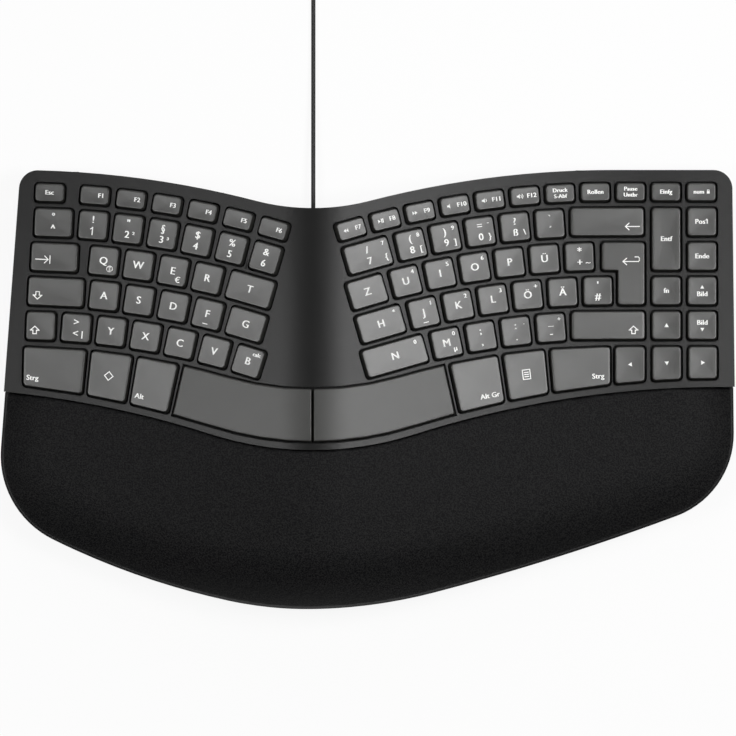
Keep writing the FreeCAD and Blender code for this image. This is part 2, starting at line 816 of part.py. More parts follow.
def space_ring(side, growth):
    """Plan points round a space bar, between the arc of its row and the lip, grown outward."""
    centre = V(ridge_x + side * row_centre_x, row_centre_y, 0)
    rise = space_edge_y - row_centre_y
    dip_radius = (row_centre_x ** 2 / (bottom_edge_radius - rise) - bottom_edge_radius - rise) / 2
    dip = V(ridge_x, space_edge_y + dip_radius, 0)
    meet = math.asin(row_centre_x / (bottom_edge_radius + dip_radius))
    outer_t = (space_left_end if side == LEFT else space_right_end)
    place, yaw = row_place(side * outer_t, bottom_middle_radius)
    ray = V(math.sin(yaw), -math.cos(yaw), 0)
    outward = V(side * math.cos(yaw), side * math.sin(yaw), 0)
    top_radius_here = bottom_edge_radius + growth
    dip_here = dip_radius - growth
    inner_x = ridge_x + side * (space_split / 2 - growth)
    points = [V(inner_x, dip.y - dip_here, 0)]
    points += [polar(dip, dip_here, -math.pi / 2 + side * meet * i / 3) for i in (1, 2, 3)]
    end_turn = abs(yaw)
    points.append(polar(centre, top_radius_here, math.pi / 2 + side * (meet + end_turn) / 2))
    points.append(place - ray * (top_radius_here - bottom_middle_radius) + outward * growth)
    lip = deck_lip - growth
    low = place
    for _ in range(6):
        low = low + ray * (low.y - seam_y(low.x, 0) - lip / math.cos(yaw))
    points.append(low + outward * growth)
    seam_centre = V(ridge_x, seam_centre_y, 0)
    seam_radius = seam_centre_radius - lip
    points += [polar(seam_centre, seam_radius, -math.pi / 2 + side * seam_flank_angle * i / 4)
               for i in (4, 3, 2, 1)]
    points.append(V(inner_x, seam_centre_y - seam_radius, 0))
    return points


class SpaceBar:
    """Long key whose curved cap follows the crest of the deck."""

    def __init__(self, name, side):
        self.node = "key_" + name
        self.side = side
        self.key = Key(name, self.node, ridge_x + side * space_centre, space_centre_y,
                       side * space_yaw, [], (0.0, -space_post_offset, space_post_offset))
        self.axis = V(side * math.sin(space_lean), math.sin(deck_fall), math.cos(deck_fall))
        self.axis.normalize()
        self.key.axis = self.axis

    def ring(self, growth, depth):
        """Outline at the deck, slid along the travel to a depth below it."""
        points = []
        for p in space_ring(self.side, growth):
            slide = depth / self.axis.dot(deck_normal(p.x))
            points.append(V(p.x, p.y, deck_z(p.x, p.y)) - self.axis * slide)
        return points

    def block(self, growth_low, growth_high, low, high):
        """Block of flat facets along the travel, between two depths of the deck surface."""
        bottom = self.ring(growth_low, low)
        top = self.ring(growth_high, high)
        count = len(top)
        quads = [(bottom[i], bottom[(i + 1) % count], top[(i + 1) % count], top[i])
                 for i in range(count)]
        for ring in (bottom, top):
            quads += [(ring[i], ring[i + 1], ring[count - 2 - i], ring[count - 1 - i])
                      for i in range(count // 2 - 1)]
        faces = []
        for p, q, r, s in quads:
            for corners in ((p, q, r), (p, r, s)):
                faces.append(Part.Face(Part.makePolygon(corners + corners[:1])))
        solid = Part.Solid(Part.Shell(faces))
        return solid.reversed() if solid.Volume < 0 else solid

    def cap(self):
        shell = self.block(cap_flare, 0.0, skirt_depth, -cap_rise)
        hollow = self.block(cap_flare - cap_wall, -cap_wall, skirt_depth + cut_over,
                            cap_wall - cap_rise)
        posts = [key_post(self.key, offset, plunger_size, post_bite - cap_rise, plunger_depth)
                 for offset in self.key.posts]
        split = Part.makeBox(space_split, 80, 80, V(ridge_x - space_split / 2, -60, 10))
        return shell.cut(hollow).fuse(posts).cut(split)

    def well(self):
        edge = cap_flare + well_clearance
        return self.block(edge, edge, deck_thickness + well_under, -well_over)


keys = build_layout()
bars = [SpaceBar("space_left", LEFT), SpaceBar("space_right", RIGHT)]
nodes = {}
for key in keys:
    nodes.setdefault(key.node, []).append(key)
for group in nodes.values():
    mean = V(0, 0, 0)
    for key in group:
        mean = mean + key.normal
    mean.normalize()
    for key in group:
        key.axis = mean
all_keys = keys + [bar.key for bar in bars]


def well(key):
    """Opening in the deck round a cap."""
    outline = grow(key.outline, cap_flare + well_clearance)
    return key_prism(key, outline, -well_over, deck_thickness + well_under)


# Case and inner layers

screw_sites = []


def deck_post_sites():
    """Places of the screw posts along the edge of the deck."""
    radius = deck_back_radius - post_inset
    sites = [row_place(t, radius)[0] for t in deck_post_places]
    sites.append(V(side_x(side_post_y, left_side_back, left_side_front) + side_post_inset,
                   side_post_y, 0))
    sites.append(V(side_x(side_post_y, right_side_back, right_side_front) - side_post_inset,
                   side_post_y, 0))
    return sites


def palm_post_sites():
    return [V(x, palm_post_y, 0) for x in palm_post_places]


def column(centre, radius, low, high, sides=8):
    """Upright post or hole with flat sides, as wide across the flats as its radius says."""
    corner = radius / math.cos(math.pi / sides)
    points = [V(centre.x, centre.y, low) + polar(V(0, 0, 0), corner, math.pi * (2 * i + 1) / sides)
              for i in range(sides)]
    return Part.Face(Part.makePolygon(points + points[:1])).extrude(V(0, 0, high - low))


def screw_drill(site):
    """Blind hole for a screw in a post."""
    return column(site, screw_shank_radius + thread_play, parting_height - 1,
                  parting_height + screw_length - screw_end_play, 6)


def gland_cut(radius):
    """Round passage for the cord through the back wall."""
    return Part.makeCylinder(radius, 12, V(ridge_x, 88, parting_height), V(0, 1, 0))


def build_top_case():
    inner = inset(deck_outline, case_wall)
    outer_block = prism(deck_outline, parting_height, 80).common(under_deck(0))
    cavity = prism(inner, parting_height - 1, 80).common(under_folds(deck_thickness))
    shell = outer_block.cut(cavity)
    posts = []
    for site in deck_post_sites():
        top = deck_z(site.x, site.y) - deck_thickness / 2
        post = column(site, post_radius, parting_height, top)
        posts.append(post)
    shell = shell.fuse(posts)
    drills = [screw_drill(site) for site in deck_post_sites()]
    wells = [well(key) for key in keys]
    bar_well = bars[0].well().fuse(bars[1].well())
    return shell.cut(wells + drills + [bar_well, gland_cut(gland_radius + gland_play)])


def palm_top(x, y, drop=0.0):
    """Height of the cushion's top at a plan position."""
    start = seam_y(x)
    s = max(start - y, -back_reach)
    ridge = (ridge_profile(x) - ridge_profile(right_side_front.x)) / (
        crest_height - ridge_profile(right_side_front.x))
    fall = palm_side_drop + palm_ridge_drop * ridge
    crown = deck_z(x, start) - pad_step + slope * s - fall * (s / palm_crown_length) ** 2
    edge = edge_distance(x, y)
    roll = 0.0
    if edge < roll_width:
        depth = roll_side_drop + roll_ridge_drop * ridge
        roll = depth * ((roll_width - edge) / roll_width) ** roll_power
    return crown - roll - drop


def rim_points():
    """Points along the outer edge of the palm rest, from its left end to its right end."""
    points = []
    for edge in palm_outline.Edges:
        if on_seam(edge, seam_gap):
            continue
        run = edge.discretize(max(2, int(edge.Length / rim_step)))
        points.append(run)
    points.sort(key=lambda run: (run[0].x + run[-1].x) / 2)
    chain = []
    for run in points:
        if chain and (run[0] - chain[-1]).Length > (run[-1] - chain[-1]).Length:
            run = run[::-1]
        elif not chain and run[0].y < run[-1].y:
            run = run[::-1]
        chain += run if not chain else run[1:]
    return chain


rim = rim_points()


def edge_distance(x, y):
    """Distance in from the outer edge of the palm rest, negative outside it."""
    best, inside = 1e9, True
    for a, b in zip(rim, rim[1:]):
        dx, dy = b.x - a.x, b.y - a.y
        along = ((x - a.x) * dx + (y - a.y) * dy) / (dx * dx + dy * dy)
        along = min(max(along, 0.0), 1.0)
        px, py = x - a.x - along * dx, y - a.y - along * dy
        distance = math.hypot(px, py)
        if distance < best - 1e-9:
            best = distance
            inside = dx * py - dy * px > 0
    return best if inside else -best


def palm_surface():
    """Smooth sheet through the cushion's top, wider than its outline."""
    xs = [sheet_start[0] + i * sheet_steps[0] for i in range(sheet_counts[0])]
    ys = [sheet_start[1] + j * sheet_steps[1] for j in range(sheet_counts[1])]
    points = [[V(x, y, palm_top(x, y)) for y in ys] for x in xs]
    surface = Part.BSplineSurface()
    surface.interpolate(points)
    return surface.toShape()


palm_sheet = palm_surface()


def under_palm(depth, thickness=80.0):
    """Solid under the cushion's top, lowered by a depth."""
    sheet = palm_sheet.copy()
    sheet.translate(V(0, 0, -depth))
    return sheet.extrude(V(0, 0, -thickness))


def build_palm():
    pad = prism(palm_wire(pad_setback), 0, 80).common(under_palm(0, pad_thickness))
    lower = pad_thickness + fit_gap
    base = prism(palm_outline, parting_height, 80).common(under_palm(lower))
    cavity = prism(inset(palm_outline, palm_wall), parting_height - 1, 80).common(
        under_palm(lower + palm_wall))
    base = base.cut(cavity)
    posts = [column(s, palm_post_radius, parting_height, palm_top(s.x, s.y) - lower - 1)
             for s in palm_post_sites()]
    drills = [screw_drill(site) for site in palm_post_sites()]
    return pad, base.fuse(posts).cut(drills)


def post_room(low, high):
    """Clear space round the screw posts."""
    return [column(s, boss_radius + boss_play, low, high) for s in deck_post_sites()]


def build_layers():
    outline = straightened(inset(deck_outline, layer_inset))
    room = post_room(-10, 90)
    plate = layer(outline, guide_top, guide_thickness)
    low_rim = layer(outline, guide_top + 1, sheet_depth - fit_gap - guide_top - 1)
    inner = straightened(inset(deck_outline, layer_inset + lower_rim))
    low_rim = low_rim.cut(prism(inner, -20, 90))
    holes = []
    for key in all_keys:
        for offset in key.posts:
            holes.append(key_post(key, offset, plunger_size + 2 * guide_clearance,
                                  guide_top - 2, guide_top + guide_thickness + 2))
    parts["key_frame"] = plate.fuse(low_rim).cut(holes + room)
    sheet = layer(outline, sheet_depth, sheet_thickness).cut(room)
    domes = [dome(key) for key in all_keys]
    parts["dome_sheet"] = sheet.fuse(domes)
    film_depth = sheet_depth + sheet_thickness
    parts["contact_membrane"] = layer(outline, film_depth, film_thickness).cut(room)
    parts["support_plate"] = layer(outline, film_depth + film_thickness,
                                   support_thickness).cut(room)


def dome(key):
    """Rubber dome under a plunger, with flat sides."""
    scale = 1 / key.axis.dot(key.normal)
    centre = key.origin - key.axis * (sheet_depth * scale)
    rings = []
    for size, rise in ((dome_base, -sheet_thickness / 2), (dome_tip, dome_height)):
        ring = []
        for i in range(dome_sides):
            turn = 2 * math.pi * i / dome_sides
            ring.append(centre + key.normal * rise + key.along * (size * math.cos(turn))
                        + key.up * (size * math.sin(turn)))
        rings.append(ring)
    return flat_sided(*rings)


def leg_sites():
    return (("left_leg", ridge_x - leg_offset + left_leg_shift),
            ("right_leg", ridge_x + leg_offset + right_leg_shift))


def palm_rib(x):
    """Upright rib whose top follows the underside of the palm rest."""
    low = foot_height + floor_thickness - 0.5
    lower = pad_thickness + fit_gap + palm_wall + rib_gap + palm_rib_drop
    tops = [V(x, y, max(palm_top(x, y) - lower, low + 0.5)) for y in palm_rib_places]
    points = [V(x, palm_rib_places[0], low)] + tops + [V(x, palm_rib_places[-1], low)]
    return Part.Face(Part.makePolygon(points + points[:1])).extrude(V(rib_thickness, 0, 0))


def build_bottom_case():
    floor_top = foot_height + floor_thickness
    whole = whole_wire()
    outer = prism(whole, foot_height, parting_height)
    outer = outer.makeChamfer(bottom_chamfer, [e for e in outer.Edges
                                               if e.BoundBox.ZMax < foot_height + 0.01])
    tray = outer.cut(prism(inset(whole, case_wall), floor_top, 80))
    keep_deck = prism(inset(deck_outline, layer_inset + 1), 0, 80)
    keep_palm = prism(inset(palm_outline, palm_wall + fit_gap), 0, 80)
    deck_room = under_folds(layer_bottom + rib_gap)
    ribs = []
    for y in rib_rows:
        ribs.append(Part.makeBox(400, rib_thickness, 60, V(-200, y, floor_top - 0.5)))
    for x in rib_columns:
        ribs.append(Part.makeBox(rib_thickness, 130, 60, V(x, -12, floor_top - 0.5)))
    ribs = [r.common(keep_deck).common(deck_room) for r in ribs]
    palm_ribs = [palm_rib(x) for x in palm_rib_columns]
    palm_ribs = [r.common(keep_palm) for r in palm_ribs]
    bosses = [column(s, boss_radius, floor_top - 0.5, parting_height) for s in screw_sites]
    body = tray.fuse(ribs + palm_ribs + bosses)
    cuts = [gland_cut(gland_radius + gland_play),
            gland_flange(flange_radius + flange_play, flange_length + 2 * flange_play)]
    for site in screw_sites:
        cuts.append(column(site, screw_head_radius + head_play, 0, foot_height + screw_sink))
        cuts.append(column(site, screw_shank_radius + shank_play, 0, parting_height + 1, 6))
    body = body.cut(cuts)
    for name, x in leg_sites():
        body = leg_pocket(body, x)
    return body


def leg_pocket(body, x):
    """Recess for a folded leg, with bores for its pins."""
    wall = case_wall
    half = leg_width / 2 + leg_gap
    front = leg_axis_y - leg_thickness / 2 - leg_gap
    back = leg_axis_y + leg_length + leg_gap
    roof = foot_height + leg_recess + leg_thickness + leg_gap
    cover = Part.makeBox(2 * half + 2 * wall, back - front + 2 * wall,
                         roof + wall - foot_height, V(x - half - wall, front - wall, foot_height))
    room = Part.makeBox(2 * half, back - front, roof, V(x - half, front, 0))
    bore = Part.makeCylinder(leg_pin_radius + pin_play, 2 * half + 2 * wall,
                             V(x - half - wall, leg_axis_y, leg_axis_z()), V(1, 0, 0))
    return body.fuse(cover).cut([room, bore])


def leg_axis_z():
    return foot_height + leg_recess + leg_thickness / 2


def build_leg(x):
    """Folding leg: a ribbed plate with a round hinge end and two pins."""
    z = leg_axis_z()
    r = leg_thickness / 2
    low = V(0, leg_axis_y, z - r)
    high = V(0, leg_axis_y, z + r)
    end_y = leg_axis_y + leg_length
    edges = [
        Part.Arc(high, V(0, leg_axis_y - r, z), low).toShape(),
        line(low, V(0, end_y - leg_toe, z - r)),
        line(V(0, end_y - leg_toe, z - r), V(0, end_y, z - r + leg_toe)),
        line(V(0, end_y, z - r + leg_toe), V(0, end_y, z + r)),
        line(V(0, end_y, z + r), high),
    ]
    plate = Part.Face(Part.Wire(edges)).extrude(V(leg_width, 0, 0))
    plate.translate(V(x - leg_width / 2, 0, 0))
    pocket_y = leg_axis_y + r + leg_bay_start
    pocket_length = leg_length - r - leg_bay_trim
    bay = (leg_width - 4 * leg_rib) / 3
    for i in range(3):
        left = x - leg_width / 2 + leg_rib + i * (bay + leg_rib)
        plate = plate.cut(Part.makeBox(bay, pocket_length, leg_thickness - leg_skin,
                                       V(left, pocket_y, z - r + leg_skin)))
    pins = Part.makeCylinder(leg_pin_radius, leg_width + 2 * (leg_gap + leg_pin_length),
                             V(x - leg_width / 2 - leg_gap - leg_pin_length, leg_axis_y, z),
                             V(1, 0, 0))
    return plate.fuse(pins)


def build_feet():
    """Rubber feet under the corners and under the middle."""
    feet = []
    for x, y in foot_spots:
        length, width = foot_size
        outline = rounded(rectangle(length, width), foot_corner)
        points = [V(x + u, y + v, 0) for u, v in outline]
        face = Part.Face(Part.makePolygon(points + points[:1]))
        feet.append(face.extrude(V(0, 0, foot_height)))
    return Part.makeCompound(feet)


def build_screws():
    screws = []
    for site in screw_sites:
        low = foot_height + screw_sink - screw_head_height
        head = column(site, screw_head_radius, low, low + screw_head_height)
        shank = column(site, screw_shank_radius, low + screw_head_height,
                       low + screw_head_height + screw_length, 6)
        screws.append(head.fuse(shank))
    return Part.makeCompound(screws)


def peg_places():
    """Places of the pegs that carry the controller board."""
    return [V(ridge_x + a * peg_reach[0], board_middle_y + b * peg_reach[1], 0)
            for a in (-1, 1) for b in (-1, 1)]


def build_board():
    """Controller board on pegs, with its chip, connector and crystal."""
    length, width, thickness = board_size
    board = Part.makeBox(length, width, thickness,
                         V(ridge_x - length / 2, board_middle_y - width / 2, board_height))
    holes = [column(place, board_hole_radius, board_height - 1, board_height + thickness + 1)
             for place in peg_places()]
    items = []
    for size, (x, y) in (chip, connector, crystal, cord_socket):
        items.append(Part.makeBox(*size, V(ridge_x + x, board_middle_y + y,
                                           board_height + thickness)))
    return board.cut(holes).fuse(items)


def build_board_pegs():
    """Pegs of the bottom case under the controller board."""
    pegs = []
    for place in peg_places():
        peg = column(place, peg_radius, foot_height + 0.5, board_height)
        pegs.append(peg.fuse(column(place, peg_tip_radius, board_height - 0.5,
                                    board_height + peg_tip_height)))
    return pegs


# Cord

def back_face_y():
    meet = math.asin(row_centre_x / (deck_back_radius + ridge_notch_radius))
    return (row_centre_y + (deck_back_radius + ridge_notch_radius) * math.cos(meet)
            - ridge_notch_radius)


def gland_flange(radius, length):
    """Inner flange of the cord's bushing, or the room for it."""
    y = back_face_y() - case_wall - flange_setback - length
    return Part.makeCylinder(radius, length, V(ridge_x, y, parting_height), V(0, 1, 0))


def build_gland():
    """Stepped bushing that grips the cord in the back wall."""
    flange = gland_flange(flange_radius, flange_length)
    start = back_face_y() - case_wall - gland_lengths[0]
    body = Part.makeCylinder(gland_radius, case_wall + sum(gland_lengths),
                             V(ridge_x, start, parting_height), V(0, 1, 0))
    return flange.fuse(body)


def rounded_route(points):
    """Straight runs joined by arcs as large as their runs allow, with the radii used."""
    edges, radii = [], []
    start = points[0]
    for before, here, after in zip(points, points[1:], points[2:]):
        a = before - here
        b = after - here
        short = min(a.Length, b.Length)
        turn = math.pi - a.getAngle(b)
        cut = 0.45 * short
        radius = cut / math.tan(turn / 2)
        p = here + a.normalize() * cut
        q = here + b.normalize() * cut
        bisect = (a + b).normalize()
        centre = here + bisect * (radius / math.cos(turn / 2))
        mid = centre - bisect * radius
        edges.append(line(start, p))
        edges.append(Part.Arc(p, mid, q).toShape())
        radii.append(radius)
        start = q
    edges.append(line(start, points[-1]))
    return Part.Wire(edges), radii


def ring_wire(centre, direction, radius, sides):
    """Closed regular outline square to a direction."""
    side = direction.cross(V(0, 0, 1)).normalize()
    up = side.cross(direction).normalize()
    points = []
    for i in range(sides):
        turn = 2 * math.pi * (i + 0.5) / sides
        points.append(centre + side * (radius * math.cos(turn)) + up * (radius * math.sin(turn)))
    return Part.makePolygon(points + points[:1])


cord_rest = cord_diameter / 2
turn_pitch = cord_diameter + cord_turn_gap
layer_step = plug_body_size[2] / 2 - cord_rest


def cord_points():
    """Corners of the cord's route from its bushing down to the desk."""
    points = [V(ridge_x, back_face_y() + gland_lengths[1], parting_height)]
    points += [V(ridge_x, y, z) for y, z in cord_places]
    points.append(V(ridge_x, coil_start_y - cord_diameter, cord_rest))
    return points


def outer_coil_radius():
    """Radius of the coil's outer turn that gives the cord its length."""
    points = cord_points()
    straight = cord_tail + cord_diameter
    straight += sum((b - a).Length for a, b in zip(points, points[1:]))
    turns = 2 * coil_turns
    shrink = 2 * math.pi * turns * turn_pitch * coil_turns / 2
    return (cord_length - straight + shrink) / (2 * math.pi * (turns + coil_end))


coil_outer_radius = outer_coil_radius()
coil_centre = V(ridge_x + coil_outer_radius, coil_start_y, 0)


def coil_point(turn):
    """Centre of the cord and its direction, a number of turns from the coil's start."""
    half = coil_turns
    climb = coil_end
    inward = min(turn, 2 * half - turn)
    blend = 0.0
    if abs(turn - half) < climb:
        blend = climb * (1 - ((turn - half) / climb) ** 2) / 2
    radius = coil_outer_radius - turn_pitch * (inward - blend)
    ramp = min(max((turn - half + climb) / (2 * climb), 0.0), 1.0)
    height = cord_rest + layer_step * (3 * ramp ** 2 - 2 * ramp ** 3)
    angle = math.pi - 2 * math.pi * turn
    return coil_centre + V(radius * math.cos(angle), radius * math.sin(angle), height)


def coil_tangent(turn):
    step = 1e-4
    return (coil_point(turn + step) - coil_point(turn - step)).normalize()


def biarc(p1, t1, p2, t2):
    """Two arcs that join two points and keep both directions."""
    v = p2 - p1
    t = t1 + t2
    vt = v.dot(t)
    bend = 2 * (1 - t1.dot(t2))
    reach = (-vt + math.sqrt(vt * vt + bend * v.dot(v))) / bend
    meet = (p1 + p2 + (t1 - t2) * reach) * 0.5
    return [tangent_arc(p1, t1, meet, False), tangent_arc(p2, t2 * -1, meet, True)]


def tangent_arc(start, direction, end, reverse):
    """Arc from a point with a given direction to another point."""
    chord = end - start
    normal = direction.cross(chord).cross(direction).normalize()
    radius = chord.dot(chord) / (2 * chord.dot(normal))
    centre = start + normal * radius
    half = ((start - centre) + (end - centre)).normalize()
    middle = centre + half * abs(radius)
    if reverse:
        start, end = end, start
    return Part.Arc(start, middle, end).toShape()


def build_cord():
    points = cord_points()
    route, radii = rounded_route(points)
    print("cord radii", [round(r, 1) for r in radii])
    profile = ring_wire(points[0], points[1] - points[0], cord_rest, run_sides)
    run = route.makePipeShell([profile], True, False)
    section = profile_area(profile)
    print("cord run volume ratio", round(run.Volume / (section * route.Length), 4))
    parts["cord_run"] = run
    end_turn = 2 * coil_turns + coil_end
    stations = coil_stations(end_turn)
    edges = [line(points[-1], coil_point(0))]
    places = [(coil_point(s), coil_tangent(s)) for s in stations]
    places[0] = (places[0][0], V(0, 1, 0))
    for (p1, t1), (p2, t2) in zip(places, places[1:]):
        edges += biarc(p1, t1, p2, t2)
    last, direction = places[-1]
    tail = last + direction * cord_tail
    edges.append(line(last, tail))
    wire = Part.Wire(edges)
    profile = ring_wire(points[-1], V(0, 1, 0), cord_rest, coil_sides)
    coil = wire.makePipeShell([profile], True, False)
    print("coil length", round(wire.Length), "volume ratio",
          round(coil.Volume / (profile_area(profile) * wire.Length), 4))
    print("coil least gap", round(least_gap(), 3))
    parts["cord_coil"] = coil
    build_plug(tail, direction)


def coil_stations(end_turn):
    """Half turns along the coil, with quarter turns where it climbs and at its end."""
    stations = [i / 2 for i in range(int(2 * end_turn) + 1)]
    stations += [coil_turns - coil_end, coil_turns + coil_end, end_turn]
    return sorted(set(stations))


def profile_area(wire):
    return Part.Face(wire).Area


def least_gap():
    """Least distance between the coil's turns, less the cord's thickness, on points."""
    steps = 48
    total = int((2 * coil_turns + coil_end) * steps)
    points = [coil_point(i / steps) for i in range(total)]
    least = 1e9
    for i in range(total):
        for j in range(i + steps // 2, total):
            least = min(least, (points[i] - points[j]).Length)
    return least - cord_diameter


def build_plug(tail, direction):
    """Moulded grip and metal shell of the plug, lying on the desk."""
    length, width, height = plug_body_size
    angle = math.degrees(math.atan2(direction.y, direction.x))
    grip = Part.makeBox(length, width, height, V(0, -width / 2, -height / 2))
    ends = [e for e in grip.Edges if e.Length > length - 0.1]
    grip = grip.makeFillet(plug_edge, ends)
    shell_length, shell_width, shell_height = plug_shell_size
    shell = Part.makeBox(shell_length, shell_width, shell_height,
                         V(length, -shell_width / 2, -shell_height / 2))
    room = Part.makeBox(shell_length, shell_width - 2 * plug_shell_wall,
                        shell_height - 2 * plug_shell_wall,
                        V(length + plug_back_wall, -shell_width / 2 + plug_shell_wall,
                          -shell_height / 2 + plug_shell_wall))
    tongue = Part.makeBox(shell_length - 2 * plug_back_wall,
                          shell_width - 2 * (plug_shell_wall + tongue_side_gap), tongue_thickness,
                          V(length + plug_back_wall - tongue_bite,
                            -shell_width / 2 + plug_shell_wall + tongue_side_gap,
                            shell_height / 2 - plug_shell_wall - tongue_thickness
                            - tongue_drop))
    shell = shell.cut(room).fuse(tongue)
    for shape, name in ((grip, "plug_body"), (shell, "plug_shell")):
        shape.rotate(V(0, 0, 0), V(0, 0, 1), angle)
        shape.translate(V(tail.x, tail.y, height / 2))
        parts[name] = shape


def build_keys():
    for name, group in nodes.items():
        caps = [keycap(key) for key in group]
        parts[name] = caps[0] if len(caps) == 1 else Part.makeCompound(caps)
    for bar in bars:
        parts[bar.node] = bar.cap()


def main():
    screw_sites.extend(deck_post_sites() + palm_post_sites())
    build_keys()
    parts["top_case"] = build_top_case()
    parts["palm_pad"], parts["palm_rest_base"] = build_palm()
    build_layers()
    parts["bottom_case"] = build_bottom_case().fuse(build_board_pegs())
    parts["controller_board"] = build_board()
    parts["case_screws"] = build_screws()
    parts["rubber_feet"] = build_feet()
    for name, x in leg_sites():
        parts[name] = build_leg(x)
    parts["strain_relief"] = build_gland()
    build_cord()
    os.makedirs("parts", exist_ok=True)
    for name, shape in sorted(parts.items()):
        solids = shape.Solids
        print(name, "solids", len(solids), "valid", shape.isValid(), "volume", round(shape.Volume))
        shape.exportStep("parts/" + name + ".step")


main()
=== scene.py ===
import math

import bmesh
import bpy
from mathutils import Matrix, Vector
from mathutils.bvhtree import BVHTree


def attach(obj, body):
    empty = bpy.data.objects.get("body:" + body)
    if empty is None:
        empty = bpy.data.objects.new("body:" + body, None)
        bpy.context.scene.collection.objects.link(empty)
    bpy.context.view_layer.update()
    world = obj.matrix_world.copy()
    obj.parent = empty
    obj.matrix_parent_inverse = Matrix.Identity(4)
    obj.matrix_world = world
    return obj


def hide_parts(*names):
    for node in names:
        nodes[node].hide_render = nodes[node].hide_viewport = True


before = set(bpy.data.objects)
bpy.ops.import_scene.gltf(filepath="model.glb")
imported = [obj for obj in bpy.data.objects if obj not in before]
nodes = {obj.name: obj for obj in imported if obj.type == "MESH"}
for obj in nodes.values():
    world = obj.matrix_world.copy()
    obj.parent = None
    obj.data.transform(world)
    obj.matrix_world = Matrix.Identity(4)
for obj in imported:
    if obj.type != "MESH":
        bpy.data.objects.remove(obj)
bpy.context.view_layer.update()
mm = 0.001

# Camera. It looks straight down on the middle of the picture from far away, so that the
# keyboard keeps its plan.
camera_height = 4.0
view_width = 391.3 * mm
view_centre = (0.27 * mm, 11.4 * mm)
deck_level = 0.03
camera_data = bpy.data.cameras.new("camera")
camera_data.sensor_width = 36.0
camera_data.lens = camera_data.sensor_width * (camera_height - deck_level) / view_width
camera_data.clip_end = 20.0
camera = bpy.data.objects.new("camera", camera_data)
camera.location = (view_centre[0], view_centre[1], camera_height)
bpy.context.scene.collection.objects.link(camera)
bpy.context.scene.camera = camera
bpy.context.scene.view_settings.view_transform = "Standard"


# Cord. A thin round cord with a soft jacket leaves the back of the case under the crest, lies
# on the desk and is wound into a neat coil of two layers, with its plug beside it.
class Socket:
    """A value in a material's node tree that adds Math nodes when it is reckoned with."""

    def __init__(self, finish, link):
        self.finish = finish
        self.link = link

    def math(self, operation, *others):
        return self.finish.node("ShaderNodeMath", {"operation": operation},
                                dict(enumerate((self,) + others)))

    def __add__(self, other):
        return self.math("ADD", other)

    def __radd__(self, other):
        return self.math("ADD", other)

    def __sub__(self, other):
        return self.math("SUBTRACT", other)

    def __rsub__(self, other):
        return (self * -1.0) + other

    def __mul__(self, other):
        return self.math("MULTIPLY", other)

    def __rmul__(self, other):
        return self.math("MULTIPLY", other)

    def clamped(self):
        return self.math("MAXIMUM", 0.0).math("MINIMUM", 1.0)


class Finish:
    """One surface finish: a Principled shader and the nodes that feed it."""

    def __init__(self, name, **fixed):
        self.material = bpy.data.materials.new(name)
        self.material.use_nodes = True
        self.tree = self.material.node_tree
        self.shader = self.tree.nodes["Principled BSDF"]
        for socket, value in fixed.items():
            self.shader.inputs[socket.replace("_", " ")].default_value = value

    def node(self, kind, settings=None, inputs=None, output=0):
        """Adds a node with its settings and the values or links of its sockets."""
        made = self.tree.nodes.new(kind)
        for name, value in (settings or {}).items():
            setattr(made, name, value)
        for name, value in (inputs or {}).items():
            if isinstance(value, Socket):
                self.tree.links.new(value.link, made.inputs[name])
            else:
                made.inputs[name].default_value = value
        return Socket(self, made.outputs[output])

    def feed(self, name, value):
        self.tree.links.new(value.link, self.shader.inputs[name])

    def place(self):
        """Position in the object's own coordinates, in metres."""
        return self.node("ShaderNodeTexCoord", output="Object")

    def noise(self, scale, detail=2.0):
        return self.node("ShaderNodeTexNoise", None,
                         {"Vector": self.place(), "Scale": scale, "Detail": detail})

    def mixed(self, share, first, second):
        """Colour between two colours."""
        return self.node("ShaderNodeMix", {"data_type": "RGBA"},
                         {"Factor": share, 6: first, 7: second}, output=2)

    def bumped(self, height, distance, strength=1.0):
        normal = self.node("ShaderNodeBump", None,
                           {"Height": height, "Distance": distance, "Strength": strength})
        self.feed("Normal", normal)


def srgb(*levels):
    """Linear colour of sRGB levels from 0 to 255."""
    linear = [v / 255 / 12.92 if v <= 10 else ((v / 255 + 0.055) / 1.055) ** 2.4 for v in levels]
    return (*linear, 1.0)


def painted(piece, finish):
    piece.data.materials.clear()
    piece.data.materials.append(finish.material)


def from_mesh(name, mesh):
    piece = bpy.data.objects.new(name, mesh)
    bpy.context.scene.collection.objects.link(piece)
    return piece


ridge_x = -29.0
cord_diameter = 2.3
cord_length = 1500.0
cord_rest = cord_diameter / 2
exit_y = 96.97
exit_z = 6.5
coil_start_y = 256.0
coil_turns = 3
crossing = 0.25
turn_pitch = 3.0
layer_step = 2.75
cord_tail = 27.0
cord_points = [
    (ridge_x, exit_y, exit_z),
    (ridge_x, 112.0, 6.5),
    (ridge_x, 138.0, 4.4),
    (ridge_x, 174.0, 2.3),
    (ridge_x, 214.0, 1.4),
    (ridge_x, coil_start_y - cord_diameter, cord_rest),
]
straight = cord_tail + cord_diameter
straight += sum((Vector(b) - Vector(a)).length for a, b in zip(cord_points, cord_points[1:]))
shrink = 2 * math.pi * 2 * coil_turns * turn_pitch * coil_turns / 2
coil_radius = (cord_length - straight + shrink) / (2 * math.pi * (2 * coil_turns + crossing))
coil_x = ridge_x + coil_radius
steps_per_turn = 16
stop = int((2 * coil_turns + crossing) * steps_per_turn)
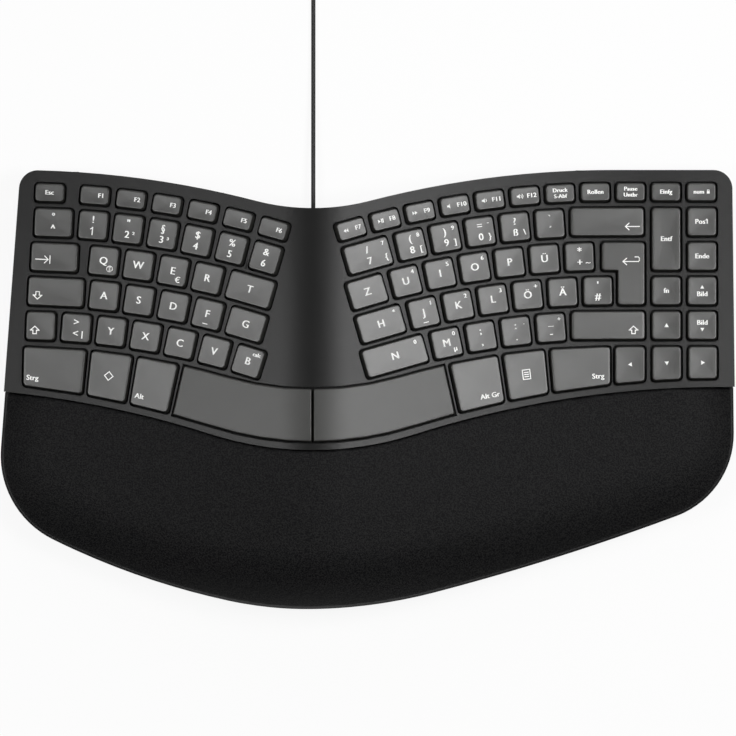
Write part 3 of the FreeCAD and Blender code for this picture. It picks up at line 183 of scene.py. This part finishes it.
for step in range(stop + 1):
    turn = step / steps_per_turn
    inward = min(turn, 2 * coil_turns - turn)
    blend = 0.0
    if abs(turn - coil_turns) < crossing:
        blend = crossing * (1 - ((turn - coil_turns) / crossing) ** 2) / 2
    radius = coil_radius - turn_pitch * (inward - blend)
    ramp = min(max((turn - coil_turns + crossing) / (2 * crossing), 0.0), 1.0)
    height = cord_rest + layer_step * (3 * ramp ** 2 - 2 * ramp ** 3)
    angle = math.pi - 2 * math.pi * turn
    cord_points.append((coil_x + radius * math.cos(angle),
                        coil_start_y + radius * math.sin(angle), height))
last = cord_points[-1]
cord_points.append((last[0] + cord_tail / 2, last[1], last[2]))
cord_points.append((last[0] + cord_tail, last[1], last[2]))
cord_curve = bpy.data.curves.new("cord", "CURVE")
cord_curve.dimensions = "3D"
cord_curve.bevel_depth = cord_rest * mm
cord_curve.bevel_resolution = 4
spline = cord_curve.splines.new("NURBS")
spline.points.add(len(cord_points) - 1)
for point, place in zip(spline.points, cord_points):
    point.co = (place[0] * mm, place[1] * mm, place[2] * mm, 1.0)
spline.order_u = 3
spline.use_endpoint_u = True
cord = bpy.data.objects.new("cord", cord_curve)
bpy.context.scene.collection.objects.link(cord)
jacket = Finish("cord_jacket", Roughness=0.55)
jacket.feed("Base Color", jacket.mixed(jacket.noise(900.0), srgb(22, 22, 22), srgb(32, 32, 32)))
jacket.bumped(jacket.noise(2500.0), 0.0001, 0.3)
painted(cord, jacket)
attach(cord, "case")
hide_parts("cord_run", "cord_coil")

# Floor and light. A plain pale floor that can be looked through from below, a soft lamp at each
# side, which the slopes of the deck catch, a weak one behind and one under the floor.
floor_mesh = bpy.data.meshes.new("floor")
floor_half = 3.0
corners = [(-1, -1), (1, -1), (1, 1), (-1, 1)]
floor_mesh.from_pydata([(a * floor_half, b * floor_half, 0.0) for a, b in corners], [],
                       [(0, 1, 2, 3)])
floor = from_mesh("floor", floor_mesh)
paper = Finish("floor_paper", Roughness=0.9)
paper.shader.inputs["Base Color"].default_value = srgb(250, 250, 250)
bright = paper.node("ShaderNodeEmission", None, {"Color": (1, 1, 1, 1), "Strength": 1.0})
seen = paper.node("ShaderNodeLightPath", output="Is Camera Ray")
shine = paper.node("ShaderNodeLightPath", output="Is Glossy Ray")
surface = Socket(paper, paper.shader.outputs[0])
ground_level = 0.9
share = (seen + shine).clamped() * ground_level
blended = paper.node("ShaderNodeMixShader", None, {0: share, 1: surface, 2: bright})
below = paper.node("ShaderNodeNewGeometry", output="Backfacing")
clear = paper.node("ShaderNodeBsdfTransparent")
one_sided = paper.node("ShaderNodeMixShader", None, {0: below, 1: blended, 2: clear})
paper.tree.links.new(one_sided.link, paper.tree.nodes["Material Output"].inputs["Surface"])
painted(floor, paper)
world = bpy.data.worlds.new("studio")
world.use_nodes = True
sky_level = 0.12
sky = world.node_tree.nodes["Background"]
sky.inputs["Color"].default_value = (1, 1, 1, 1)
looked_at = world.node_tree.nodes.new("ShaderNodeLightPath")
level = world.node_tree.nodes.new("ShaderNodeMath")
level.operation = "MULTIPLY_ADD"
level.inputs[1].default_value = ground_level - sky_level
level.inputs[2].default_value = sky_level
world.node_tree.links.new(looked_at.outputs["Is Camera Ray"], level.inputs[0])
world.node_tree.links.new(level.outputs[0], sky.inputs["Strength"])
bpy.context.scene.world = world
for name, place, size, power in (
        ("lamp_right", (0.43, 0.11, 0.8), 0.34, 4.4),
        ("lamp_left", (-0.47, 0.06, 0.8), 0.34, 2.6),
        ("lamp_back", (0.0, 1.5, 0.7), 1.0, 6.0),
        ("lamp_below", (0.5, -0.6, -0.9), 0.6, 9.0)):
    lamp_data = bpy.data.lights.new(name, "AREA")
    lamp_data.size = size
    lamp_data.energy = power
    lamp = bpy.data.objects.new(name, lamp_data)
    lamp.location = place
    toward = Vector((0, 0, deck_level)) - Vector(place)
    lamp.rotation_euler = toward.to_track_quat("-Z", "Y").to_euler()
    bpy.context.scene.collection.objects.link(lamp)

# Deck. One moulded shell of black plastic with a fine matt texture, curved over the crest in the
# middle, with a well for each key. It is screwed to the bottom case from below.
deck = Finish("deck_plastic", Roughness=0.36, Specular_IOR_Level=0.28)
mottle = deck.noise(60.0)
deck.feed("Base Color", deck.mixed(mottle, srgb(6, 6, 6), srgb(11, 11, 10)))
deck.bumped(deck.noise(4200.0, 1.0), 0.00006, 0.5)
painted(nodes["top_case"], deck)
crest_height = 50.4
crest_radius = 77.0
crest_angle = math.radians(15.0)
flank_radius = 629.0
deck_fall = math.radians(4.0)
deck_thickness = 2.2 * mm
well_gap = 1.3 * mm
well_round = 3.0 * mm
short_edge = 3.0 * mm
corner_steps = 6
settle_rounds = 3


def over_deck(x, y, rise):
    """Height of a surface that lies a rise above the deck, in millimetres."""
    crest = crest_radius + rise
    flank = flank_radius - rise
    away = abs(x - ridge_x)
    base = crest_height - crest_radius
    if away < crest * math.sin(crest_angle):
        height = base + math.sqrt(crest ** 2 - away ** 2)
    else:
        reach = max((crest_radius + flank_radius) * math.sin(crest_angle) - away, 0.0)
        level = base + (crest_radius + flank_radius) * math.cos(crest_angle)
        height = level - math.sqrt(flank ** 2 - reach ** 2)
    return height / math.cos(deck_fall) - y * math.tan(deck_fall)


def arc_points(start, corner, end):
    """Points of a soft arc that leaves a corner out."""
    points = []
    for step in range(corner_steps + 1):
        t = step / corner_steps
        points.append(start * (1 - t) ** 2 + corner * (2 * t * (1 - t)) + end * t ** 2)
    return points


def fill_corners(shape, ring, normal):
    """Rounds the corners of the well round a cap with a patch of the deck in each."""
    count = len(ring)
    for k in range(count):
        p, q = ring[k], ring[(k + 1) % count]
        if (q - p).length > short_edge:
            continue
        before = (p - ring[k - 1]).normalized()
        after = (ring[(k + 2) % count] - q).normalized()
        corner = p + before * ((q - p).length / (before + after).length)
        corner += (before - after) * (well_gap / before.cross(after).length)
        outline = [corner] + arc_points(corner - before * well_round, corner,
                                        corner + after * well_round)
        top = []
        for point in outline:
            for _ in range(settle_rounds):
                gap = over_deck(point.x / mm, point.y / mm, 0.0) * mm - point.z
                point = point + normal * (gap / normal.z)
            top.append(shape.verts.new(point))
        low = [shape.verts.new(vert.co - normal * deck_thickness) for vert in top]
        for i in range(1, len(top) - 1):
            shape.faces.new((top[0], top[i], top[i + 1]))
            shape.faces.new((low[0], low[i + 1], low[i]))
        for i in range(len(top)):
            j = (i + 1) % len(top)
            shape.faces.new((top[i], low[i], low[j], top[j]))


deck_patches = bmesh.new()

# Bottom case, palm rest base and folding legs. Moulded black plastic, a little rougher than the
# deck; the base is screwed to the case, and the legs turn on pins in it.
case = Finish("case_plastic", Roughness=0.5)
case.feed("Base Color", case.mixed(case.noise(80.0), srgb(12, 12, 12), srgb(18, 18, 18)))
case.bumped(case.noise(2600.0, 1.0), 0.0001, 0.6)
for name in ("bottom_case", "palm_rest_base", "left_leg", "right_leg"):
    painted(nodes[name], case)

# Palm pad. Soft foam under a skin of black leatherette with a fine grain, glued on the base
# behind a narrow lip of plastic.
def softened(name, source, voxel, rounds):
    """A piece made from a solid's mesh, remeshed in even cells and smoothed."""
    piece = from_mesh(name, source.data.copy())
    remesh = piece.modifiers.new("remesh", "REMESH")
    remesh.mode = "VOXEL"
    remesh.voxel_size = voxel
    remesh.use_smooth_shade = True
    smooth = piece.modifiers.new("smooth", "SMOOTH")
    smooth.iterations = rounds
    smooth.factor = 0.5
    graph = bpy.context.evaluated_depsgraph_get()
    settled = bpy.data.meshes.new_from_object(piece.evaluated_get(graph))
    piece.modifiers.clear()
    piece.data = settled
    return piece


pad = softened("pad_skin", nodes["palm_pad"], 1.1 * mm, 3)
leather = Finish("pad_leatherette", Roughness=0.6, Specular_IOR_Level=0.12)
grain = leather.node("ShaderNodeTexVoronoi", {"feature": "SMOOTH_F1"},
                     {"Vector": leather.place(), "Scale": 1500.0, "Smoothness": 0.4})
fleck = leather.noise(1300.0, 2.0)
tone = ((fleck - 0.4) * 5.0).clamped()
leather.feed("Base Color", leather.mixed(tone, srgb(5, 5, 7), srgb(29, 29, 29)))
leather.bumped(grain * 0.7 + fleck * 0.6, 0.0002, 0.6)
painted(pad, leather)
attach(pad, "case")
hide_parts("palm_pad")

# Key caps. Black moulded caps with rounded corners, sloping sides and a shallow dish, each on
# its plunger; their legends are printed in white.
def key_finish(name, rough):
    """Black key plastic of a roughness, a little mottled, with a very fine texture."""
    finish = Finish(name, Roughness=rough, Specular_IOR_Level=0.62)
    finish.feed("Base Color",
                finish.mixed(finish.noise(70.0), srgb(42, 42, 40), srgb(50, 50, 48)))
    finish.bumped(finish.noise(3800.0, 1.0), 0.00005, 0.5)
    return finish


cap_plastic = key_finish("key_plastic", 0.34)

# Printed ink. The signs are printed on the finished caps with a white ink, which is a little
# rougher than the plastic under it.
print_white = Finish("legend_print", Roughness=0.6)
print_white.shader.inputs["Base Color"].default_value = srgb(252, 252, 250)

corner_growth = 0.5 * mm
cap_flare = 0.55 * mm
cap_height = 5.5 * mm
edge_round = 0.45 * mm
rim_bend = 0.9
rim_steps = 4
dish_depth = 0.2 * mm
full_dish = 7.0 * mm
enter_dish = 0.15
dish_shares = (0.94, 0.86, 0.76, 0.64, 0.5, 0.35, 0.18)
facing_up = 0.7


def top_faces(mesh_source):
    """The flat top of each cap in a node, as rings of corner points with their normals."""
    shape = bmesh.new()
    shape.from_mesh(mesh_source)
    bmesh.ops.remove_doubles(shape, verts=shape.verts, dist=1e-6)
    bmesh.ops.dissolve_limit(shape, angle_limit=0.01, verts=shape.verts, edges=shape.edges)
    found = []
    seen_verts = set()
    for start in shape.verts:
        if start in seen_verts:
            continue
        island = {start}
        queue = [start]
        while queue:
            here = queue.pop()
            for edge in here.link_edges:
                other = edge.other_vert(here)
                if other not in island:
                    island.add(other)
                    queue.append(other)
        seen_verts |= island
        faces = {f for v in island for f in v.link_faces if f.normal.z > facing_up}
        peak = max(faces, key=lambda f: f.calc_area() + f.calc_center_median().z / 10)
        ring = [v.co.copy() for v in peak.verts]
        found.append((ring, peak.normal.copy()))
    shape.free()
    return found


def rounded_ring(ring):
    """The ring with each short corner edge turned into an arc."""
    count = len(ring)
    points = []
    lengths = [(ring[(k + 1) % count] - ring[k]).length for k in range(count)]
    for k in range(count):
        p, q = ring[k], ring[(k + 1) % count]
        if lengths[k] > short_edge:
            if lengths[k - 1] > short_edge:
                points.append(p)
            continue
        before = (p - ring[k - 1]).normalized()
        after = (ring[(k + 2) % count] - q).normalized()
        reach = (q - p).length / (before + after).length
        corner = p + before * reach
        points += arc_points(p - before * corner_growth, corner, q + after * corner_growth)
    return points


def cap_frame(ring, normal):
    """Centre and axes of a cap: along its rows, up the board and out of it."""
    centre = sum(ring, Vector()) / len(ring)
    longest = max(range(len(ring)), key=lambda k: abs((ring[(k + 1) % len(ring)] - ring[k]).x))
    along = (ring[(longest + 1) % len(ring)] - ring[longest])
    if along.x < 0:
        along = -along
    along = (along - normal * along.dot(normal)).normalized()
    up = normal.cross(along)
    return Matrix((along, up, normal)).transposed().to_4x4(), centre


def cap_mesh(shape, ring, normal, places, heart):
    """Adds one cap to a bmesh: sloping sides, a rounded rim and a dished top.

    A cap with an inner corner has its dish round a heart, the others round their middle.
    """
    turned, centre = cap_frame(ring, normal)
    back = turned.inverted()
    flat = [back @ (p - centre) for p in rounded_ring(ring)]
    if sum(a.x * b.y - a.y * b.x for a, b in zip(flat, flat[1:] + flat[:1])) < 0:
        flat.reverse()
    count = len(flat)
    half = min(max(abs(p.x) for p in flat), max(abs(p.y) for p in flat))
    anchor = Vector((0, 0, 0)) if heart is None else back @ (heart - centre)
    rows = []
    slant = cap_flare / cap_height
    levels = [(cap_height, cap_flare), (edge_round, slant * edge_round)]
    for step in range(1, rim_steps):
        turn = math.pi / 2 * step / rim_steps
        inward = edge_round * (1 - math.cos(turn)) * rim_bend
        levels.append((edge_round * (1 - math.sin(turn)), -inward))
    levels.append((0.0, -edge_round))
    for drop, spread in levels:
        row = []
        for k in range(count):
            before, here, after = flat[k - 1], flat[k], flat[(k + 1) % count]
            tangent = ((here - before).normalized() + (after - here).normalized()).normalized()
            out = Vector((tangent.y, -tangent.x, 0))
            row.append(here + out * spread + Vector((0, 0, -drop)))
        rows.append(row)
    rim = rows[-1]
    deep = dish_depth * (min(1.0, half / full_dish) if heart is None else enter_dish)
    half_x = max(abs(p.x) for p in rim)
    half_y = max(abs(p.y) for p in rim)
    for share in dish_shares:
        row = []
        for p in rim:
            here = anchor + (p - anchor) * share
            sink = deep * (1 - share ** 2)
            if heart is None:
                sink = deep * (1 - (here.x / half_x) ** 2) * (1 - (here.y / half_y) ** 2)
            row.append(here - Vector((0, 0, sink)))
        rows.append(row)
    made = []
    for row in rows:
        made.append([shape.verts.new(turned @ p + centre) for p in row])
    middle = shape.verts.new(turned @ (anchor - Vector((0, 0, deep))) + centre)
    for low, high in zip(made, made[1:]):
        for k in range(count):
            shape.faces.new((low[k], low[(k + 1) % count], high[(k + 1) % count], high[k]))
    top = made[-1]
    for k in range(count):
        shape.faces.new((top[k], top[(k + 1) % count], middle))
    places.append((turned, centre))


first_row_y = 24.7 * mm
row_step = 18.4 * mm
column_step = 14.0 * mm


def row_of(centre):
    """Number of a cap's row, counted from the letters' lowest row up."""
    return int((centre.y - first_row_y) / row_step)


def in_order(tops, rule):
    """The caps of a node in the order of their legends."""
    def centre(item):
        return sum(item[0], Vector()) / len(item[0])
    if rule == "rows":
        return sorted(tops, key=lambda t: (-row_of(centre(t)), centre(t).x))
    if rule == "columns":
        return sorted(tops, key=lambda t: (round(centre(t).x / column_step), -centre(t).y))
    if rule == "down":
        return sorted(tops, key=lambda t: -centre(t).y)
    return sorted(tops, key=lambda t: centre(t).x)


# Legends. Each word or sign is printed flat on its cap in white ink, in a plain sans letter.
# The layout is the common German one, with small keypad marks on some letters.
capital_share = 0.73
thickening = 0.15
pen = 0.52


def written(text, size):
    """Flat mesh of a word, its middle at the origin, with capitals of a height."""
    curve = bpy.data.curves.new("word", "FONT")
    curve.body = text
    curve.size = size / capital_share
    curve.align_x = "CENTER"
    curve.align_y = "CENTER"
    curve.space_character = 1.04
    curve.resolution_u = 3
    word = bpy.data.objects.new("word", curve)
    bpy.context.scene.collection.objects.link(word)
    bpy.context.view_layer.update()
    mesh = bpy.data.meshes.new_from_object(word)
    bpy.data.objects.remove(word)
    return mesh


def bold(text, size):
    """Three copies of a word side by side, which thicken its thin strokes."""
    copies = []
    for shift in (-thickening, thickening, 0.0):
        mesh = written(text, size)
        mesh.transform(Matrix.Translation((shift, 0, 0)))
        copies.append(mesh)
    return copies


def stroke(points, width, closed=False):
    """Flat outline of a line of a width through points."""
    shape = bmesh.new()
    count = len(points)
    spans = count if closed else count - 1
    for k in range(spans):
        a = Vector(points[k])
        b = Vector(points[(k + 1) % count])
        side = (b - a).normalized() * (width / 2)
        across = Vector((-side.y, side.x))
        a, b = a - side, b + side
        ring = [a + across, a - across, b - across, b + across]
        shape.faces.new([shape.verts.new((p.x, p.y, 0)) for p in ring])
    mesh = bpy.data.meshes.new("stroke")
    shape.to_mesh(mesh)
    shape.free()
    return mesh


def filled(points):
    """Flat patch with a closed outline."""
    mesh = bpy.data.meshes.new("patch")
    mesh.from_pydata([(x, y, 0) for x, y in points], [], [tuple(range(len(points)))])
    return mesh


def darkened(mesh):
    """The mesh in the second ink, which is the cap's own colour."""
    mesh.materials.append(None)
    mesh.materials.append(None)
    for face in mesh.polygons:
        face.material_index = 1
    return mesh


def sign(kind, size):
    """Meshes of a drawn sign of a height, about the origin, in millimetres."""
    s = size / 2
    if kind in ("up", "down", "left", "right"):
        turn = {"up": 0, "left": 90, "down": 180, "right": 270}[kind]
        ring = [(-s, -s * 0.8), (s, -s * 0.8), (0, s)]
        spin = Matrix.Rotation(math.radians(turn), 2)
        return [filled([tuple(spin @ Vector(p)) for p in ring])]
    if kind == "tab":
        return [stroke([(-1.9 * s, 0), (1.4 * s, 0)], pen),
                stroke([(0.5 * s, 0.9 * s), (1.4 * s, 0), (0.5 * s, -0.9 * s)], pen),
                stroke([(1.9 * s, s), (1.9 * s, -s)], pen)]
    if kind in ("shift", "caps"):
        way = 1 if kind == "shift" else -1
        ring = [(0, s), (s * 1.1, 0), (s * 0.45, 0), (s * 0.45, -s * 0.9), (-s * 0.45, -s * 0.9),
                (-s * 0.45, 0), (-s * 1.1, 0)]
        return [stroke([(x, way * y) for x, y in ring], pen, True)]
    if kind == "back":
        return [stroke([(2.2 * s, 0), (-2.2 * s, 0)], pen),
                stroke([(-1.1 * s, s), (-2.2 * s, 0), (-1.1 * s, -s)], pen)]
    if kind == "return":
        hook = [(1.2 * s, 1.0 * s), (2.1 * s, 1.0 * s), (2.4 * s, 0.7 * s), (2.4 * s, 0.0),
                (2.1 * s, -0.3 * s), (-2.2 * s, -0.3 * s)]
        return [stroke(hook, pen),
                stroke([(-1.2 * s, 0.6 * s), (-2.2 * s, -0.3 * s), (-1.2 * s, -1.2 * s)], pen)]
    if kind == "diamond":
        return [stroke([(0, s), (s, 0), (0, -s), (-s, 0)], pen, True)]
    if kind == "page":
        sheet = [(-s * 0.8, s), (s * 0.8, s), (s * 0.8, -s), (-s * 0.8, -s)]
        lines = [stroke(sheet, pen, True)]
        for height in (0.45, 0.0, -0.45):
            lines.append(stroke([(-s * 0.4, s * height), (s * 0.4, s * height)], pen))
        return lines
    if kind == "disc":
        ring = [(s * math.cos(math.pi * k / 8), s * math.sin(math.pi * k / 8)) for k in range(16)]
        return [filled(ring)]
    if kind == "lock":
        body = [(-s * 0.7, -s), (s * 0.7, -s), (s * 0.7, s * 0.1), (-s * 0.7, s * 0.1)]
        return [filled(body), stroke([(-s * 0.4, 0), (-s * 0.4, s * 0.8), (s * 0.4, s * 0.8),
                                      (s * 0.4, 0)], pen * 0.7)]
    if kind == "speaker":
        return [filled([(-s, -s * 0.4), (-s * 0.4, -s * 0.4), (s * 0.3, -s), (s * 0.3, s),
                        (-s * 0.4, s * 0.4), (-s, s * 0.4)])]
    if kind == "waves":
        return sign("speaker", size) + [stroke([(s * 0.8, s * 0.5), (s * 1.0, 0),
                                                (s * 0.8, -s * 0.5)], pen * 0.7)]
    if kind == "louder":
        return sign("waves", size) + [stroke([(s * 1.35, s * 0.9), (s * 1.7, 0),
                                              (s * 1.35, -s * 0.9)], pen * 0.7)]
    if kind in ("rewind", "forward"):
        way = -1 if kind == "rewind" else 1
        return [filled([(way * (x0 - s * 0.8), -s * 0.8), (way * (x0 + s * 0.3), 0),
                        (way * (x0 - s * 0.8), s * 0.8)][::way]) for x0 in (-0.2 * s, 0.9 * s)]
    if kind == "play":
        return [filled([(-s, -s * 0.8), (s * 0.1, 0), (-s, s * 0.8)]),
                stroke([(s * 0.6, s * 0.7), (s * 0.6, -s * 0.7)], pen),
                stroke([(s * 1.2, s * 0.7), (s * 1.2, -s * 0.7)], pen)]
    if kind == "one":
        return [stroke([(-s * 0.5, s * 0.55), (0, s), (0, -s)], pen)]
    if kind == "flag":
        return [stroke([(-s, -s), (0, 0)], pen)]
    raise ValueError("no sign is called " + kind)


def single(text):
    return [(text, 0.0, 0.0, 4.1)]


def double(high, low, *more):
    """A lower mark with the shifted one over it, then marks of its own place."""
    return [(high, 0.0, 2.9, 3.9), (low, 0.0, -3.1, 3.9)] + list(more)


def small(text, right=4.6):
    """Small keypad mark in a cap's upper right corner."""
    return (text, right, 4.3, 2.3)


def third(text, right=4.8):
    """Third mark at a cap's lower right."""
    return (text, right, -3.2, 3.2)


def function(number, icon=None):
    marks = [("F%d" % number, 3.6, 0.0, 2.5)]
    if icon:
        marks.append((icon, -3.2, 0.0, 2.5))
    return marks


home_bar = ("@bar", 0.0, -5.2, 0.4)
legends = {
    "keys_function_left": ("across", [[("Esc", 0.0, 0.0, 2.5)]]
                           + [function(n) for n in range(1, 7)]),
    "keys_function_right": ("across", [
        function(7, "@rewind"), function(8, "@play"), function(9, "@forward"),
        function(10, "@speaker"), function(11, "@waves"), function(12, "@louder")]),
    "keys_system": ("across", [
        [("Druck", 0.0, 1.6, 2.2), ("S-Abf", 0.0, -1.6, 2.2)],
        [("Rollen", 0.0, 0.0, 2.4)],
        [("Pause", 0.0, 1.6, 2.2), ("Untbr", 0.0, -1.6, 2.2)],
        [("Einfg", 0.0, 0.0, 2.4)],
        [("num", -1.4, 0.0, 2.3), ("@lock", 3.6, 0.2, 2.2)]]),
    "keys_number_left": ("across", [
        double("°", "^"), double("!", "@one"), double('"', "2", ("²", 3.4, -2.9, 3.2)),
        double("§", "3", ("³", 3.4, -2.9, 3.2)), double("$", "4"), double("%", "5"),
        double("&", "6")]),
    "keys_number_right": ("across", [
        double("/", "7", small("7", 9.2), third("{", 9.4)),
        double("(", "8", small("8"), third("[")), double(")", "9", small("9"), third("]")),
        double("=", "0", small("-"), third("}")),
        double("?", "ß", third("\\")), double("`", "´")]),
    "key_backspace": ("across", [[("@back", 13.4, -2.6, 3.4)]]),
    "key_enter": ("across", [[("@return", 4.6, 6.3, 3.8)]]),
    "key_shift_right": ("across", [[("@shift", 13.4, -2.6, 4.2)]]),
    "keys_left_edge": ("down", [
        [("@tab", -6.0, -1.4, 4.0)], [("@caps", -9.6, -2.2, 4.2)], [("@shift", -3.0, -2.4, 4.2)],
        double(">", "<", third("|", 3.6))]),
    "keys_punctuation": ("rows", [
        single("Ü"), double("*", "+", third("~", 4.4)), single("Ö") + [small("+")], single("Ä"),
        double("'", "#"), double(";", ","), double(":", ".", small(".")),
        double("_", "-", small("+"))]),
    "keys_navigation": ("columns", [
        [("Entf", 0.0, 0.0, 2.7)], [("fn", 0.0, 0.0, 2.7)],
        [("Pos1", 0.0, 0.0, 2.7), ("@flag", 2.5, 1.3, 0.8)], [("Ende", 0.0, 0.0, 2.7)],
        [("@up", 0.0, 2.0, 2.1), ("Bild", 0.0, -1.8, 2.7)],
        [("Bild", 0.0, 1.4, 2.7), ("@down", 0.0, -2.2, 2.1)]]),
    "keys_arrow": ("columns", [
        [("@left", 0.0, 0.0, 2.3)], [("@up", 0.0, 0.0, 2.3)], [("@down", 0.0, 0.0, 2.3)],
        [("@right", 0.0, 0.0, 2.3)]]),
    "keys_bottom_left": ("across", [
        [("Strg", -11.0, -5.4, 2.8)], [("@diamond", 0.0, 0.0, 4.6)], [("Alt", -6.0, -7.6, 2.8)]]),
    "keys_bottom_right": ("across", [
        [("Alt Gr", 5.0, -7.6, 2.8)], [("@page", 0.0, 0.0, 5.0)], [("Strg", 8.8, -4.8, 2.8)]]),
    "key_q": ("across", [single("Q") + [("@disc", 3.7, -3.9, 3.5), ("@at", 3.7, -3.9, 2.1)]]),
    "key_e": ("across", [single("E") + [("€", 3.4, -4.3, 3.2)]]),
    "key_u": ("across", [single("U") + [small("4")]]),
    "key_i": ("across", [single("I") + [small("5")]]),
    "key_o": ("across", [single("O") + [small("6")]]),
    "key_h": ("across", [single("H") + [small("*", 8.4)]]),
    "key_j": ("across", [single("J") + [small("1"), home_bar]]),
    "key_k": ("across", [single("K") + [small("2")]]),
    "key_l": ("across", [single("L") + [small("3")]]),
    "key_f": ("across", [single("F") + [home_bar]]),
    "key_n": ("across", [single("N") + [small("0", 12.4)]]),
    "key_m": ("across", [single("M") + [small("0"), ("µ", 4.0, -3.6, 3.0)]]),
    "key_b": ("across", [single("B") + [("calc", 3.8, 4.5, 2.1)]]),
}
for letter in "acdgprstvwxyz":
    legends["key_" + letter] = ("across", [single(letter.upper())])

ink_lift = 0.05
copy_lift = 0.02
home_bar_reach = 1.2
look_height = 2.0
look_depth = 6.0
enter_heart = (4.2, -8.0)
for node, (rule, prints) in legends.items():
    tops = in_order(top_faces(nodes[node].data), rule)
    if len(tops) != len(prints):
        raise ValueError("%s has %d caps and %d legends" % (node, len(tops), len(prints)))
    shape = bmesh.new()
    places = []
    for ring, normal in tops:
        heart = None
        if node == "key_enter":
            low = min(p.x for p in ring)
            high = max(p.x for p in ring)
            peak = max(p.y for p in ring)
            heart = Vector(((low + high) / 2 + enter_heart[0] * mm, peak + enter_heart[1] * mm, 0))
            start = ring[0]
            heart.z = start.z - (normal.x * (heart.x - start.x)
                                 + normal.y * (heart.y - start.y)) / normal.z
        cap_mesh(shape, ring, normal, places, heart)
        fill_corners(deck_patches, ring, normal)
    cap_data = bpy.data.meshes.new(node + "_caps")
    shape.normal_update()
    shape.to_mesh(cap_data)
    for face in cap_data.polygons:
        face.use_smooth = True
    tree = BVHTree.FromBMesh(shape)
    shape.free()
    caps = from_mesh(node + "_caps", cap_data)
    painted(caps, cap_plastic)
    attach(caps, node)
    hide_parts(node)
    ink = bmesh.new()
    for (turned, centre), marks in zip(places, prints):
        away = turned.to_3x3() @ Vector((0, 0, 1))
        for mark, across, along, size in marks:
            lift = ink_lift
            if mark == "@at":
                meshes = [darkened(flat_mesh) for flat_mesh in bold("@", size)]
                lift = ink_lift + 1.5 * copy_lift
            elif mark == "@bar":
                meshes = [stroke([(-home_bar_reach, 0), (home_bar_reach, 0)], size)]
            elif mark.startswith("@"):
                meshes = sign(mark[1:], size)
            else:
                meshes = bold(mark, size)
            for flat_mesh in meshes:
                lift += copy_lift
                first = len(ink.verts)
                ink.from_mesh(flat_mesh)
                bpy.data.meshes.remove(flat_mesh)
                ink.verts.ensure_lookup_table()
                for vert in ink.verts[first:]:
                    spot = Vector(((vert.co.x + across) * mm, (vert.co.y + along) * mm, 0))
                    above = turned @ spot + centre + away * look_height * mm
                    hit = tree.ray_cast(above, -away, look_depth * mm)[0]
                    base = hit if hit is not None else turned @ spot + centre
                    vert.co = base + away * lift * mm
    ink_data = bpy.data.meshes.new(node + "_legend")
    ink.to_mesh(ink_data)
    ink.free()
    ink_data.materials.append(print_white.material)
    ink_data.materials.append(cap_plastic.material)
    legend = from_mesh(node + "_legend", ink_data)
    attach(legend, node)

# Well corners. Small fillets between the straight edges of each key's well. They are part of
# the moulded deck, in the same black plastic.
bmesh.ops.recalc_face_normals(deck_patches, faces=deck_patches.faces)
patch_data = bpy.data.meshes.new("deck_corners")
deck_patches.to_mesh(patch_data)
deck_patches.free()
corners_piece = from_mesh("deck_corners", patch_data)
painted(corners_piece, deck)
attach(corners_piece, "case")

# Space bars. Two long caps of black plastic, a little rougher than the others, that follow the
# crest and meet in the middle. Each runs on three plungers.
cap_rise = 3.2
top_reach = 0.7
side_share = 0.3
top_share = 0.9
bar_plastic = key_finish("bar_plastic", 0.43)
for node in ("key_space_left", "key_space_right"):
    bar = softened(node + "_cap", nodes[node], 0.5 * mm, 6)
    lifts = [vert.normal.z for vert in bar.data.vertices]
    for vert, lift in zip(bar.data.vertices, lifts):
        gap = over_deck(vert.co.x / mm, vert.co.y / mm, cap_rise) - vert.co.z / mm
        if abs(gap) < top_reach and lift > side_share:
            vert.co.z += gap * mm * min(1.0, (lift - side_share) / (top_share - side_share))
    painted(bar, bar_plastic)
    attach(bar, node)
    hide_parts(node)

# Inner layers. A moulded guide plate holds the plungers, over a rubber sheet of domes and the
# printed contact films, which lie on a steel plate. The controller board, green laminate, stands
# on pegs of the bottom case.
for node, levels, rough in (("key_frame", (8, 8, 8), 0.7), ("dome_sheet", (205, 205, 198), 0.6),
                            ("contact_membrane", (190, 195, 190), 0.3),
                            ("controller_board", (24, 74, 44), 0.4)):
    inner = Finish(node + "_finish", Roughness=rough)
    shade = [max(v - 8, 0) for v in levels]
    inner.feed("Base Color", inner.mixed(inner.noise(120.0), srgb(*levels), srgb(*shade)))
    painted(nodes[node], inner)

# Fasteners, support plate and plug shell. Zinc-plated steel screws and plate, which hold the
# case and the layers together, and a bright plated shell on the plug.
zinc = Finish("zinc_plate", Metallic=1.0, Roughness=0.35)
zinc.feed("Base Color", zinc.mixed(zinc.noise(300.0), srgb(170, 172, 175), srgb(200, 200, 200)))
for node in ("support_plate", "case_screws", "plug_shell"):
    painted(nodes[node], zinc)

# Feet, cord bushing and plug grip. Soft black rubber: feet glued under the case, a bushing
# moulded on the cord and the grip of its plug.
rubber = Finish("soft_rubber", Roughness=0.8)
rubber.feed("Base Color", rubber.mixed(rubber.noise(400.0), srgb(24, 24, 24), srgb(36, 36, 36)))
rubber.bumped(rubber.noise(1800.0), 0.0001, 0.5)
for node in ("rubber_feet", "strain_relief", "plug_body"):
    painted(nodes[node], rubber)
